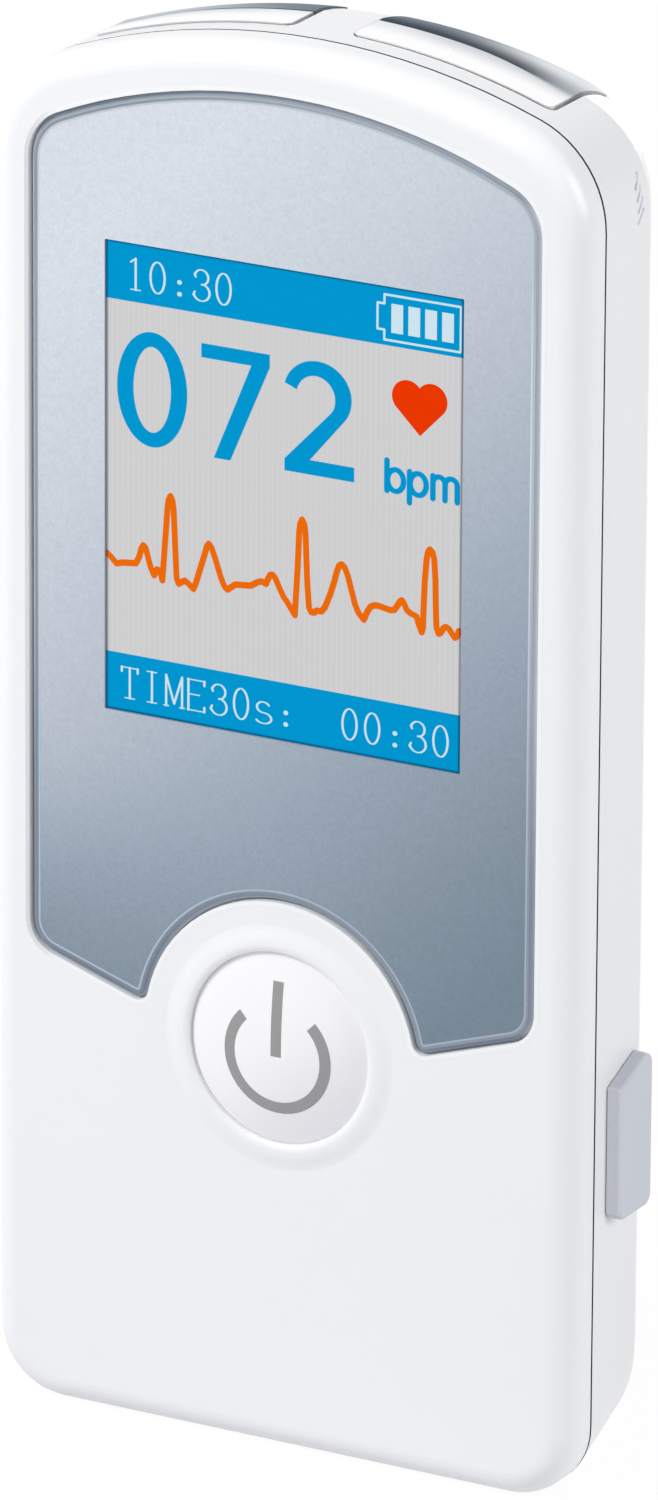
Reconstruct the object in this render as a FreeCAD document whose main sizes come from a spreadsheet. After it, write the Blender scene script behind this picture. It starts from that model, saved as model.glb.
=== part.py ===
"""Pocket heart-rhythm monitor (ECG): parametric model in millimetres.

Frame: +Z runs up the case from its flat base, the display faces -Y and +X is to the reader's right.
The origin lies in the base, midway across it. A "depth" is measured from the front face towards the
back, a "height" from the base, and an "inset" inwards from the case's outline at the seam.
"""
import math
import os

import FreeCAD, Part
import Sketcher

X_AXIS = FreeCAD.Vector(1, 0, 0)
Z_AXIS = FreeCAD.Vector(0, 0, 1)

SIZES = [
    # the case
    ("body_width", 46.1, "width of the case, without the socket cover"),
    ("body_height", 102.0, "height of the case"),
    ("body_depth", 20.2, "depth from the front face to the back"),
    ("origin_depth", 9.0, "depth of the origin, midway across the flat base"),
    ("base_corner", 5.2, "corner radius at the base"),
    ("crown_radius", 52.3, "radius of the arched top end"),
    ("shoulder_radius", 7.7, "radius between a side and the arched top"),
    ("front_edge", 1.9, "rounding of the front edge"),
    ("seam_depth", 3.1, "depth of the front shell"),
    ("seam_gap", 0.2, "shadow gap between the shells"),
    ("side_depth", 9.6, "depth at which the sides end in a soft edge"),
    ("side_turn", 35.0, "slope at which the back leaves the sides, in degrees of its quarter ellipse"),
    ("side_round", 12.5, "how far the back draws in at the sides"),
    ("crown_round", 8.0, "how far the back draws in at the top"),
    ("crown_ease", 1.2, "how slowly the back starts to draw in at the top, as a power"),
    ("side_corner", 9.0, "lower corner radius at the rear edge of the sides"),
    ("back_corner", 14.0, "lower corner radius of the flat part of the back"),
    ("base_turn", 55.0, "where the base leaves its plane, in degrees of the back's quarter ellipse"),
    ("base_round", 4.0, "how far the back draws in at the base"),
    ("wall", 1.5, "side and back wall of the shells"),
    ("face_wall", 1.6, "front wall of the front shell"),
    ("tongue_length", 0.9, "reach of the rear shell's tongue into the front shell"),
    ("tongue_wall", 0.65, "wall of the tongue"),
    ("tongue_play", 0.1, "clearance beside and beyond the tongue"),
    # face panel and screen
    ("panel_margin", 3.25, "shell beside the face panel"),
    ("panel_crown_lift", 4.85, "centre of the panel's arched top above the case's"),
    ("panel_crown", 43.9, "radius of the panel's arched top"),
    ("panel_shoulder", 3.6, "upper corner radius of the panel"),
    ("panel_heel", 2.4, "lower corner radius of the panel"),
    ("panel_heel_rise", 6.1, "height of the lower corner's centre above the button's"),
    ("panel_slope", 18.0, "slope of the panel's lower edges, degrees"),
    ("panel_collar", 10.8, "radius of the panel's edge round the button"),
    ("panel_tip", 0.8, "radius of the panel's lower tips"),
    ("panel_play", 0.12, "gap round the panel in its recess"),
    ("panel_thickness", 0.6, "thickness of the face panel"),
    ("panel_sink", 0.1, "depth of the panel's face"),
    ("panel_bevel", 0.35, "bevel round the panel's edge"),
    ("glue_thickness", 0.1, "adhesive film behind the panel"),
    ("glue_inset", 0.6, "adhesive film's inset from the panel's edge"),
    ("screen_width", 27.9, "visible width of the screen"),
    ("screen_height_share", 0.33284, "visible height of the screen, as a share of the body's height"),
    ("screen_rise_share", 0.38676, "screen's middle above the button's, as a share of the body's height"),
    ("window_lap", 1.3, "how far the window reaches past the opening"),
    ("window_thickness", 0.75, "thickness of the window"),
    ("gasket_thickness", 0.4, "foam frame behind the window"),
    ("fit_gap", 0.1, "clearance round loose inner pieces"),
    ("glass_width", 33.4, "width of the display glass"),
    ("glass_margin", 4.525, "display glass beyond the screen, above and below it"),
    ("glass_thickness", 1.2, "thickness of the display glass"),
    ("glass_drop", 1.6, "middle of the display glass below the screen's"),
    ("ledge", 2.5, "lower edge of the display glass below its backlight"),
    ("ribbon_width", 14.0, "width of the display's ribbon"),
    ("ribbon_thickness", 0.15, "thickness of the ribbon"),
    ("ribbon_fall", 2.0, "height over which the ribbon crosses to the board"),
    ("ribbon_socket_height", 3.2, "height of the ribbon's socket"),
    ("ribbon_socket_depth", 0.9, "depth of the ribbon's socket"),
    # button
    ("button_share", 0.29412, "height of the button's centre, as a share of the body's height"),
    ("button_radius", 6.97, "radius of the keycap"),
    ("button_play", 0.1, "clearance round the keycap"),
    ("button_proud", 0.55, "keycap's crown in front of the face"),
    ("button_edge", 0.2, "depth of the keycap's edge"),
    ("ring_radius", 9.2, "outer radius of the raised ring round the button"),
    ("ring_crest", 7.55, "radius of the ring's crest"),
    ("ring_height", 0.25, "height of the ring's crest above the face"),
    ("ring_round", 0.75, "radius of the ring's inner rounding"),
    ("ring_sink", 0.01, "depth at which the ring's outer slope ends"),
    ("flange_radius", 7.7, "radius of the keycap's retaining flange"),
    ("flange_gap", 0.1, "gap between the flange and the front wall"),
    ("flange_thickness", 0.7, "thickness of the flange"),
    ("stem_radius", 2.0, "radius of the keycap's stem"),
    ("button_travel", 0.3, "travel of the button"),
    ("switch_width", 4.5, "width of the switch"),
    ("switch_depth", 1.0, "depth of the switch's body"),
    ("plunger_radius", 0.9, "radius of the switch's plunger"),
    ("plunger_proud", 0.4, "plunger in front of the switch's body"),
    ("plunger_sunk", 0.25, "plunger inside the switch's body"),
    ("plunger_play", 0.06, "clearance round and behind the plunger"),
    # main board
    ("board_depth", 5.5, "depth of the main board's front"),
    ("board_thickness", 1.0, "thickness of the main board"),
    ("board_inset", 2.2, "main board's inset"),
    ("board_corner", 5.0, "lower corner radius of the main board"),
    ("processor_width", 8.0, "width of the processor"),
    ("processor_share", 0.58824, "height of the processor's middle, as a share of the body's height"),
    ("chip_depth", 0.9, "thickness of the chips"),
    ("amplifier_width", 5.0, "width of the signal amplifier"),
    ("amplifier_drop", 16.0, "amplifier's middle below the top"),
    ("memory_width", 4.0, "width of the memory chip"),
    ("memory_offset", 11.0, "memory chip's middle left of the case's"),
    ("radio_width", 11.0, "width of the radio module"),
    ("radio_height", 14.0, "height of the radio module"),
    ("radio_depth", 1.9, "depth of the radio module"),
    ("radio_margin", 12.7, "radio module's middle from the case's left side"),
    ("radio_rise", 24.0, "height of the radio module's middle"),
    ("buzzer_radius", 4.5, "radius of the buzzer"),
    ("buzzer_depth", 2.6, "depth of the buzzer"),
    ("buzzer_margin", 7.7, "buzzer's middle from the case's right side"),
    ("buzzer_drop", 19.0, "buzzer's middle below the top"),
    ("buzzer_hole", 0.8, "radius of the hole in the buzzer's back"),
    ("buzzer_hole_depth", 0.6, "depth of the hole in the buzzer's back"),
    # electrodes
    ("electrode_start", 2.4, "inner end of a top electrode from the middle"),
    ("electrode_margin", 5.4, "outer end of a top electrode from the case's side"),
    ("electrode_front", 5.2, "depth of the electrodes' front edge"),
    ("electrode_back", 13.8, "depth of the top electrodes' rear edge"),
    ("electrode_thickness", 0.5, "thickness of the electrodes"),
    ("electrode_proud", 0.12, "top electrodes above the case"),
    ("electrode_play", 0.08, "gap round the electrodes"),
    ("electrode_corner", 0.6, "corner radius of the electrodes"),
    ("electrode_drop", 12.0, "lowest part of a top electrode below the top"),
    ("stud_radius", 0.9, "radius of the electrodes' studs"),
    ("stud_length", 2.6, "length of the studs"),
    ("stud_play", 0.1, "clearance round the studs"),
    ("stud_spread", 8.0, "upper studs from the middle"),
    ("stud_depth", 7.7, "depth of the studs' axes"),
    ("base_plate_margin", 12.0, "end of the base electrode from the case's side"),
    ("base_plate_back", 12.8, "depth of the base electrode's rear edge"),
    ("contact_width", 2.0, "width of a spring contact"),
    ("contact_strip", 0.2, "strip thickness of a spring contact"),
    ("contact_foot", 3.0, "length of a contact's foot on the board"),
    # charging socket and its cover
    ("socket_drop", 5.4, "middle of the charging socket below the button's"),
    ("socket_height", 7.5, "height of the charging socket"),
    ("socket_depth", 2.6, "depth of the charging socket"),
    ("socket_length", 9.2, "length of the charging socket"),
    ("socket_bevel", 0.9, "bevel of the socket's two front corners"),
    ("socket_shell", 0.35, "wall of the socket's metal shell"),
    ("socket_back", 1.3, "closed inner end of the socket"),
    ("socket_sink", 0.8, "socket's mouth inside the case's side"),
    ("socket_play", 0.25, "clearance round the socket in the case wall"),
    ("contact_reach", 6.0, "length of the socket's contact tongue"),
    ("contact_height", 4.4, "height of the contact tongue"),
    ("contact_depth", 0.8, "thickness of the contact tongue"),
    ("cover_rise", 1.3, "top of the cover above the button's centre"),
    ("cover_height", 11.3, "height of the socket cover"),
    ("cover_front", 4.9, "depth of the cover's front edge"),
    ("cover_back", 9.6, "depth of the cover's rear edge"),
    ("cover_slope", 1.5, "fall of the cover's sloping top towards the front"),
    ("cover_corner", 0.9, "rounding of the cover's other corners"),
    ("cover_thickness", 1.1, "thickness of the cover"),
    ("cover_gap", 0.08, "gap behind the cover"),
    ("cover_edge", 0.3, "rounding of the cover's outer edge"),
    ("plug_height", 4.6, "height of the cover's plug"),
    ("plug_depth", 1.5, "depth of the cover's plug"),
    ("plug_reach", 1.2, "how far the plug enters the socket"),
    ("strap_at", 8.1, "depth of the cover's strap"),
    ("strap_depth", 1.6, "width of the cover's strap"),
    ("strap_thickness", 0.8, "thickness of the strap"),
    ("strap_drop", 1.1, "strap's middle below the cover's top"),
    ("strap_play", 0.1, "clearance round the strap in the wall"),
    ("anchor_gap", 0.3, "gap between the strap's head and the wall"),
    ("anchor_depth", 2.8, "width of the strap's head inside the wall"),
    ("anchor_thickness", 1.2, "thickness of the strap's head"),
    # battery
    ("cell_width", 30.0, "width of the battery cell"),
    ("cell_share", 0.39216, "height of the battery cell, as a share of the body's height"),
    ("cell_depth", 4.2, "depth of the battery cell"),
    ("cell_front", 9.8, "depth of the battery cell's front"),
    ("cell_rise_share", 0.39706, "height of the battery cell's lower edge, as a share of the body's height"),
    ("cell_edge", 1.4, "rounding of the cell's upright edges"),
    ("pad_thickness", 0.8, "foam between the cell and its ribs"),
    ("pad_inset", 3.0, "foam's inset from the cell's edges"),
    ("rib_width", 1.4, "thickness of the ribs behind the cell"),
    ("rib_spread", 9.0, "ribs from the middle"),
    ("lead_radius", 0.5, "radius of a battery lead"),
    ("lead_spread", 0.9, "a battery lead from the pair's middle"),
    ("lead_offset", 6.0, "the pair's middle right of the case's"),
    ("lead_fall", 3.0, "battery leads' reach below the cell"),
    ("lead_bend", 1.2, "bend radius of the battery leads"),
    ("lead_plug_height", 4.0, "height of the leads' connector"),
    ("lead_plug_width", 5.2, "width of the leads' connector"),
    ("lead_plug_depth", 2.0, "depth of the leads' connector"),
    # screws
    ("screw_radius", 1.0, "thread radius of the housing screws"),
    ("screw_head", 1.75, "head radius of the housing screws"),
    ("screw_head_depth", 1.2, "head depth of the housing screws"),
    ("screw_length", 7.2, "length of the screws under the head"),
    ("screw_seat", 10.0, "depth of the screws' seats"),
    ("screw_socket", 0.75, "radius of the driver's recess in a screw's head"),
    ("screw_socket_depth", 0.7, "depth of the driver's recess"),
    ("thread_play", 0.03, "clearance round a screw's thread"),
    ("shank_play", 0.15, "clearance round a screw's shank"),
    ("head_play", 0.35, "clearance round a screw's head"),
    ("pilot_spare", 0.5, "pilot hole beyond a screw's tip"),
    ("post_radius", 2.3, "radius of the front shell's screw posts"),
    ("boss_radius", 3.2, "radius of the rear shell's screw bosses"),
    ("top_screw_margin", 9.1, "upper screws from the case's sides"),
    ("top_screw_drop", 9.0, "upper screws below the top"),
    ("base_screw_margin", 8.2, "lower screws from the case's sides"),
    ("base_screw_rise", 8.4, "height of the lower screws"),
    # sound slots
    ("slot_width", 0.3, "width of a sound slot"),
    ("slot_length", 1.3, "length of a sound slot"),
    ("slot_pitch", 0.8, "distance between sound slots"),
    ("slot_tilt", 40.0, "slope of the sound slots, degrees"),
    ("slot_depth", 8.2, "depth of the sound slots' middle"),
    ("slot_drop", 9.3, "sound slots' middle below the top"),
    # tools
    ("beyond", 2.0, "how far a cutting tool reaches past what it cuts"),
]

SIDE = "<body_width> / 2"
CROWN_CENTRE = "(<body_height> - <crown_radius>)"
BUTTON_MIDDLE = "<button_share> * <body_height>"
BACK_STATIONS = 8  # sections of the rounded back


def make_sheet(doc):
    """The spreadsheet of driving dimensions, one alias each."""
    sheet = doc.addObject("Spreadsheet::Sheet", "Sizes")
    for row, (alias, size, meaning) in enumerate(SIZES, start=1):
        sheet.set(f"A{row}", alias)
        sheet.set(f"B{row}", str(size))
        sheet.set(f"C{row}", meaning)
        sheet.setAlias(f"B{row}", alias)
    doc.recompute()
    return sheet


doc = FreeCAD.newDocument("heart_monitor")
sheet = make_sheet(doc)


def cells(expression):
    """An expression with every size written as its cell: <wall> becomes Sizes.wall."""
    return expression.replace("<", "Sizes.").replace(">", "")


def value(expression):
    """The present value of an expression on the sizes."""
    return float(sheet.evalExpression(cells(expression)))


def across(depth):
    """The Y coordinate of a depth."""
    return f"(({depth}) - <origin_depth>)"


def bind(thing, prop, expression):
    thing.setExpression(prop, cells(expression))


def place(thing, x, depth, height):
    bind(thing, "Placement.Base.x", x)
    bind(thing, "Placement.Base.y", across(depth))
    bind(thing, "Placement.Base.z", height)


# ------------------------------------------------------------------ blocks, rods and joins

def box(name, x, depth, height, width, deep, tall):
    """A block from its left side, its front depth and its lowest height."""
    block = doc.addObject("Part::Box", name)
    bind(block, "Length", width)
    bind(block, "Width", deep)
    bind(block, "Height", tall)
    place(block, x, depth, height)
    return block


def centred_box(name, x, depth, height, width, deep, tall):
    """A block from the middle of its front."""
    return box(name, f"({x}) - ({width}) / 2", depth, f"({height}) - ({tall}) / 2", width, deep, tall)


def rod(name, x, depth, height, radius, length):
    """A cylinder that runs back from a depth."""
    cylinder = doc.addObject("Part::Cylinder", name)
    cylinder.Placement.Rotation = FreeCAD.Rotation(X_AXIS, -90)
    bind(cylinder, "Radius", radius)
    bind(cylinder, "Height", length)
    place(cylinder, x, depth, height)
    return cylinder


def post(name, x, depth, height, radius, length):
    """A cylinder that stands up from a height."""
    cylinder = doc.addObject("Part::Cylinder", name)
    bind(cylinder, "Radius", radius)
    bind(cylinder, "Height", length)
    place(cylinder, x, depth, height)
    return cylinder


def fuse(name, *pieces):
    union = doc.addObject("Part::MultiFuse", name)
    union.Shapes = list(pieces)
    return union


def common(name, *pieces):
    overlap = doc.addObject("Part::MultiCommon", name)
    overlap.Shapes = list(pieces)
    return overlap


def cut(name, base, *tools):
    """The base less its tools."""
    difference = doc.addObject("Part::Cut", name)
    difference.Base = base
    difference.Tool = tools[0] if len(tools) == 1 else fuse(f"{name}_tools", *tools)
    return difference


def group(name, pieces):
    """Like pieces kept together."""
    compound = doc.addObject("Part::Compound", name)
    compound.Links = list(pieces)
    return compound


# ------------------------------------------------------------------ sketches

def sketch_on(body, name, role, offset):
    """A sketch on one of the body's own origin planes, moved along the plane's normal."""
    plane = next(feature for feature in body.Origin.OriginFeatures if feature.Role == role)
    sketch = body.newObject("Sketcher::SketchObject", name)
    sketch.AttachmentSupport = (plane, [""])
    sketch.MapMode = "FlatFace"
    bind(sketch, "AttachmentOffset.Base.z", offset)
    return sketch


def front_sketch(body, name, depth):
    """A sketch parallel to the front face, in X and height."""
    return sketch_on(body, name, "XZ_Plane", f"-{across(depth)}")


def side_sketch(body, name, x):
    """A sketch parallel to the case's middle plane, in Y and height."""
    return sketch_on(body, name, "YZ_Plane", x)


def level_sketch(body, name, height):
    """A sketch parallel to the base, in X and Y."""
    return sketch_on(body, name, "XY_Plane", height)


def constrain(sketch, label, kind, *targets, size):
    """A named dimension, bound to the sizes."""
    index = sketch.addConstraint(Sketcher.Constraint(kind, *targets, value(size)))
    sketch.renameConstraint(index, label)
    bind(sketch, f"Constraints.{label}", size)


def pin(sketch, label, edge, end, x, y):
    """Fixes one end of an edge at a point; a coordinate of "0" keeps it on that axis."""
    for kind, axis, size in (("DistanceX", -2, x), ("DistanceY", -1, y)):
        if size == "0":
            sketch.addConstraint(Sketcher.Constraint("PointOnObject", edge, end, axis))
        elif value(size) < 0:
            constrain(sketch, f"{label}_{kind}", kind, edge, end, -1, 1, size=f"-({size})")
        else:
            constrain(sketch, f"{label}_{kind}", kind, -1, 1, edge, end, size=size)


def arc(centre, radius, start, end):
    return Part.ArcOfCircle(Part.Circle(FreeCAD.Vector(*centre, 0), Z_AXIS, radius), start, end)


def line(start, end):
    return Part.LineSegment(FreeCAD.Vector(*start, 0), FreeCAD.Vector(*end, 0))


def arc_between(start, end, radius):
    """The shorter arc that turns left on its way from start to end."""
    half = math.dist(start, end) / 2
    reach = math.sqrt(radius * radius - half * half)
    along = ((end[0] - start[0]) / (2 * half), (end[1] - start[1]) / (2 * half))
    centre = (
        (start[0] + end[0]) / 2 - along[1] * reach,
        (start[1] + end[1]) / 2 + along[0] * reach,
    )
    angles = [math.atan2(point[1] - centre[1], point[0] - centre[0]) for point in (start, end)]
    if angles[1] < angles[0]:
        angles[1] += 2 * math.pi
    return arc(centre, radius, *angles)


def polygon(sketch, points, left_turns=None, right_turns=None, closed=True):
    """Pinned edges through points; an edge may be an arc of a radius that turns left or right."""
    left_turns = left_turns or {}
    right_turns = right_turns or {}
    spots = [(value(x), value(y)) for x, y in points]
    count = len(points) if closed else len(points) - 1
    first = []
    last = []
    for edge in range(count):
        start = spots[edge]
        end = spots[(edge + 1) % len(points)]
        backwards = edge in right_turns
        if backwards:
            geometry = arc_between(end, start, value(right_turns[edge]))
        elif edge in left_turns:
            geometry = arc_between(start, end, value(left_turns[edge]))
        else:
            geometry = line(start, end)
        sketch.addGeometry(geometry, False)
        first.append(2 if backwards else 1)
        last.append(1 if backwards else 2)
    for edge in range(count if closed else count - 1):
        after = (edge + 1) % count
        sketch.addConstraint(Sketcher.Constraint("Coincident", edge, last[edge], after, first[after]))
    for edge in range(count):
        pin(sketch, f"p{edge}", edge, first[edge], *points[edge])
    if not closed:
        pin(sketch, f"p{count}", count - 1, last[-1], *points[-1])
    for edge, radius in {**left_turns, **right_turns}.items():
        constrain(sketch, f"r{edge}", "Radius", edge, size=radius)
    return sketch


def join_smoothly(sketch, count):
    """Makes each of a closed chain of edges tangent to the next, end to start."""
    for edge in range(count):
        sketch.addConstraint(Sketcher.Constraint("Tangent", edge, 2, (edge + 1) % count, 1))


def rounded_rectangle(sketch, left, right, low, high, corner):
    """A rectangle with rounded corners, clear of the sketch's axes or across them."""
    x0, x1, y0, y1, r = (value(size) for size in (left, right, low, high, corner))
    quarter = math.pi / 2
    sketch.addGeometry([
        line((x0 + r, y0), (x1 - r, y0)),
        arc((x1 - r, y0 + r), r, -quarter, 0),
        line((x1, y0 + r), (x1, y1 - r)),
        arc((x1 - r, y1 - r), r, 0, quarter),
        line((x1 - r, y1), (x0 + r, y1)),
        arc((x0 + r, y1 - r), r, quarter, math.pi),
        line((x0, y1 - r), (x0, y0 + r)),
        arc((x0 + r, y0 + r), r, math.pi, 3 * quarter),
    ], False)
    join_smoothly(sketch, 8)
    for edge in (0, 4):
        sketch.addConstraint(Sketcher.Constraint("Horizontal", edge))
    for edge in (2, 6):
        sketch.addConstraint(Sketcher.Constraint("Vertical", edge))
    for edge in (3, 5, 7):
        sketch.addConstraint(Sketcher.Constraint("Equal", 1, edge))
    constrain(sketch, "corner", "Radius", 1, size=corner)
    pin(sketch, "low", 1, 3, f"{right} - {corner}", f"{low} + {corner}")
    pin(sketch, "high", 5, 3, f"{left} + {corner}", f"{high} - {corner}")
    return sketch


def case_outline(body, name, depth, half, base, top, corner, shoulder, crown):
    """The case's outline at one depth: flat base, straight sides and an arched top."""
    sketch = front_sketch(body, name, depth)
    h, b, t, c, s, r = (value(size) for size in (half, base, top, corner, shoulder, crown))
    crown_z = t - r
    rise = math.sqrt((r - s) ** 2 - (h - s) ** 2)
    shoulder_z = crown_z + rise
    turn = math.atan2(rise, h - s)
    quarter = math.pi / 2
    sketch.addGeometry([
        line((c - h, b), (h - c, b)),
        arc((h - c, b + c), c, -quarter, 0),
        line((h, b + c), (h, shoulder_z)),
        arc((h - s, shoulder_z), s, 0, turn),
        arc((0, crown_z), r, turn, math.pi - turn),
        arc((s - h, shoulder_z), s, math.pi - turn, math.pi),
        line((-h, shoulder_z), (-h, b + c)),
        arc((c - h, b + c), c, math.pi, 3 * quarter),
    ], False)
    join_smoothly(sketch, 8)
    sketch.addConstraint([
        Sketcher.Constraint("Horizontal", 0),
        Sketcher.Constraint("Vertical", 2),
        Sketcher.Constraint("Vertical", 6),
        Sketcher.Constraint("Equal", 1, 7),
        Sketcher.Constraint("Equal", 3, 5),
        Sketcher.Constraint("PointOnObject", 4, 3, -2),
    ])
    constrain(sketch, "half_width", "DistanceX", -1, 1, 2, 1, size=half)
    constrain(sketch, "other_half", "DistanceX", 6, 1, -1, 1, size=half)
    constrain(sketch, "crown_centre", "DistanceY", -1, 1, 4, 3, size=f"({top}) - ({crown})")
    constrain(sketch, "base_to_crown", "DistanceY", 0, 1, 4, 3, size=f"({top}) - ({crown}) - ({base})")
    constrain(sketch, "corner", "Radius", 1, size=corner)
    constrain(sketch, "shoulder", "Radius", 3, size=shoulder)
    constrain(sketch, "crown", "Radius", 4, size=crown)
    return sketch


def side_outline(body, name, depth, inset="0", corner=None):
    """The outline at the case's seam, moved in by an inset; its lower corners may have their own radius."""
    return case_outline(
        body, name, depth,
        half=f"<body_width> / 2 - ({inset})",
        base=inset,
        top=f"<body_height> - ({inset})",
        corner=corner or f"<base_corner> - ({inset})",
        shoulder=f"<shoulder_radius> - ({inset})",
        crown=f"<crown_radius> - ({inset})",
    )


def back_outline(body, name, station, inset):
    """The outline of the rounded back at a station of its quarter ellipse, moved in by an inset."""
    turn = f"(<side_turn> + (90 - <side_turn>) * {station} / {BACK_STATIONS - 1})"
    sunk = f"((sin({turn}) - sin(<side_turn>)) / (1 - sin(<side_turn>)))"
    drawn = f"(1 - cos({turn}) / cos(<side_turn>))"
    crown_drawn = f"(({inset}) + (<crown_round> - ({inset})) * pow({drawn}; <crown_ease>))"
    lifted = f"(<base_round> - ({inset})) * pow(max(0; {turn} - <base_turn>) / (90 - <base_turn>); 3)"
    return case_outline(
        body, name,
        depth=f"(<side_depth> + (<body_depth> - <side_depth> - ({inset})) * {sunk})",
        half=f"<body_width> / 2 - ({inset}) - (<side_round> - ({inset})) * {drawn}",
        base=f"({inset}) + {lifted}",
        top=f"<body_height> - {crown_drawn}",
        corner=f"<side_corner> - ({inset}) + (<back_corner> - <side_corner>) * {drawn}",
        shoulder=f"<shoulder_radius> - ({inset})",
        crown=f"<crown_radius> - {crown_drawn}",
    )


def panel_outline(body, name, depth, grow="0"):
    """The face panel's outline, grown by an offset: arched top, and a collar round the button."""
    sketch = front_sketch(body, name, depth)
    sizes = {
        "half": f"{SIDE} - <panel_margin> + ({grow})",
        "crown": f"<panel_crown> + ({grow})",
        "shoulder": f"<panel_shoulder> + ({grow})",
        "heel": f"<panel_heel> + ({grow})",
        "collar": f"<panel_collar> - ({grow})",
        "tip": f"<panel_tip> + ({grow})",
        "crown_centre": f"{CROWN_CENTRE} + <panel_crown_lift>",
        "button_centre": BUTTON_MIDDLE,
        "heel_centre": f"{BUTTON_MIDDLE} + <panel_heel_rise>",
    }
    half, crown, shoulder, heel, collar, tip, crown_z, button_z, heel_z = map(value, sizes.values())
    slope = math.radians(value("<panel_slope>"))
    rise = math.sqrt((crown - shoulder) ** 2 - (half - shoulder) ** 2)
    shoulder_z = crown_z + rise
    turn = math.atan2(rise, half - shoulder)
    # a tip's centre lies on a line along the lower edge and on a circle about the button
    drop = heel_z - button_z - (heel - tip) / math.cos(slope) - (half - heel) * math.tan(slope)
    reach = math.sqrt((collar + tip) ** 2 / math.cos(slope) ** 2 - drop ** 2)
    tip_x = (reach - drop * math.tan(slope)) * math.cos(slope) ** 2
    tip_z = button_z + drop + tip_x * math.tan(slope)
    tip_turn = math.atan2(tip_z - button_z, tip_x)
    foot = slope - math.pi / 2
    heel_foot = (half - heel + heel * math.cos(foot), heel_z + heel * math.sin(foot))
    tip_foot = (tip_x + tip * math.cos(foot), tip_z + tip * math.sin(foot))
    sketch.addGeometry([
        line(tip_foot, heel_foot),
        arc((half - heel, heel_z), heel, foot, 0),
        line((half, heel_z), (half, shoulder_z)),
        arc((half - shoulder, shoulder_z), shoulder, 0, turn),
        arc((0, crown_z), crown, turn, math.pi - turn),
        arc((shoulder - half, shoulder_z), shoulder, math.pi - turn, math.pi),
        line((-half, shoulder_z), (-half, heel_z)),
        arc((heel - half, heel_z), heel, math.pi, math.pi - foot),
        line((-heel_foot[0], heel_foot[1]), (-tip_foot[0], tip_foot[1])),
        arc((-tip_x, tip_z), tip, math.pi - foot, 2 * math.pi - tip_turn),
        arc((0, button_z), collar, tip_turn, math.pi - tip_turn),
        arc((tip_x, tip_z), tip, math.pi + tip_turn, 2 * math.pi + foot),
    ], False)
    for edge in range(9):
        sketch.addConstraint(Sketcher.Constraint("Tangent", edge, 2, edge + 1, 1))
    sketch.addConstraint([
        Sketcher.Constraint("Tangent", 9, 2, 10, 2),
        Sketcher.Constraint("Tangent", 10, 1, 11, 1),
        Sketcher.Constraint("Tangent", 11, 2, 0, 1),
        Sketcher.Constraint("Vertical", 2),
        Sketcher.Constraint("Vertical", 6),
        Sketcher.Constraint("Equal", 1, 7),
        Sketcher.Constraint("Equal", 3, 5),
        Sketcher.Constraint("Equal", 9, 11),
        Sketcher.Constraint("PointOnObject", 4, 3, -2),
        Sketcher.Constraint("PointOnObject", 10, 3, -2),
        Sketcher.Constraint("Symmetric", 1, 3, 7, 3, -2),
        Sketcher.Constraint("Horizontal", 9, 3, 11, 3),
    ])
    constrain(sketch, "half", "DistanceX", -1, 1, 2, 1, size=sizes["half"])
    for label, edge in (("heel", 1), ("shoulder", 3), ("crown", 4), ("tip", 9), ("collar", 10)):
        constrain(sketch, label, "Radius", edge, size=sizes[label])
    for label, edge in (("heel_centre", 1), ("crown_centre", 4), ("button_centre", 10)):
        constrain(sketch, label, "DistanceY", -1, 1, edge, 3, size=sizes[label])
    angle = sketch.addConstraint(Sketcher.Constraint("Angle", 0, slope))
    sketch.renameConstraint(angle, "slope")
    bind(sketch, "Constraints.slope", "<panel_slope>")
    return sketch


# ------------------------------------------------------------------ bodies

def new_body(name):
    return doc.addObject("PartDesign::Body", name)


def pad(body, sketch, length, backwards=False):
    """Extrudes a sketch along its plane's normal, or against it."""
    feature = body.newObject("PartDesign::Pad", f"{body.Name}_pad")
    feature.Profile = sketch
    feature.Reversed = backwards
    bind(feature, "Length", length)
    return feature


def slab(name, outline, front, back, *details):
    """A body with an outline seen from the front, from one depth to another."""
    body = new_body(name)
    sketch = outline(body, f"{name}_outline", front, *details)
    pad(body, sketch, f"({back}) - ({front})", backwards=True)
    return body


def turned(name, x, height, points, **arcs):
    """A body turned about a front-to-back axis, from a profile in Y and radius."""
    body = new_body(name)
    sketch = polygon(side_sketch(body, f"{name}_profile", "0"), points, **arcs)
    feature = body.newObject("PartDesign::Revolution", f"{name}_turn")
    feature.Profile = sketch
    feature.ReferenceAxis = (sketch, ["H_Axis"])
    feature.Angle = 360
    bind(body, "Placement.Base.x", x)
    bind(body, "Placement.Base.z", height)
    return body


def face_towards(feature, axis, sign):
    """The name of the flat face that lies furthest along an axis."""
    faces = [
        (sign * face.CenterOfMass[axis], f"Face{number}")
        for number, face in enumerate(feature.Shape.Faces, start=1)
        if isinstance(face.Surface, Part.Plane)
    ]
    return max(faces)[1]


def ease(body, kind, size, axis, sign):
    """Rounds or bevels the whole rim of the body's outermost flat face along an axis."""
    doc.recompute()
    tip = body.Tip
    feature = body.newObject(f"PartDesign::{kind}", f"{body.Name}_{kind}")
    feature.Base = (tip, [face_towards(tip, axis, sign)])
    bind(feature, "Radius" if kind == "Fillet" else "Size", size)
    return feature


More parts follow.
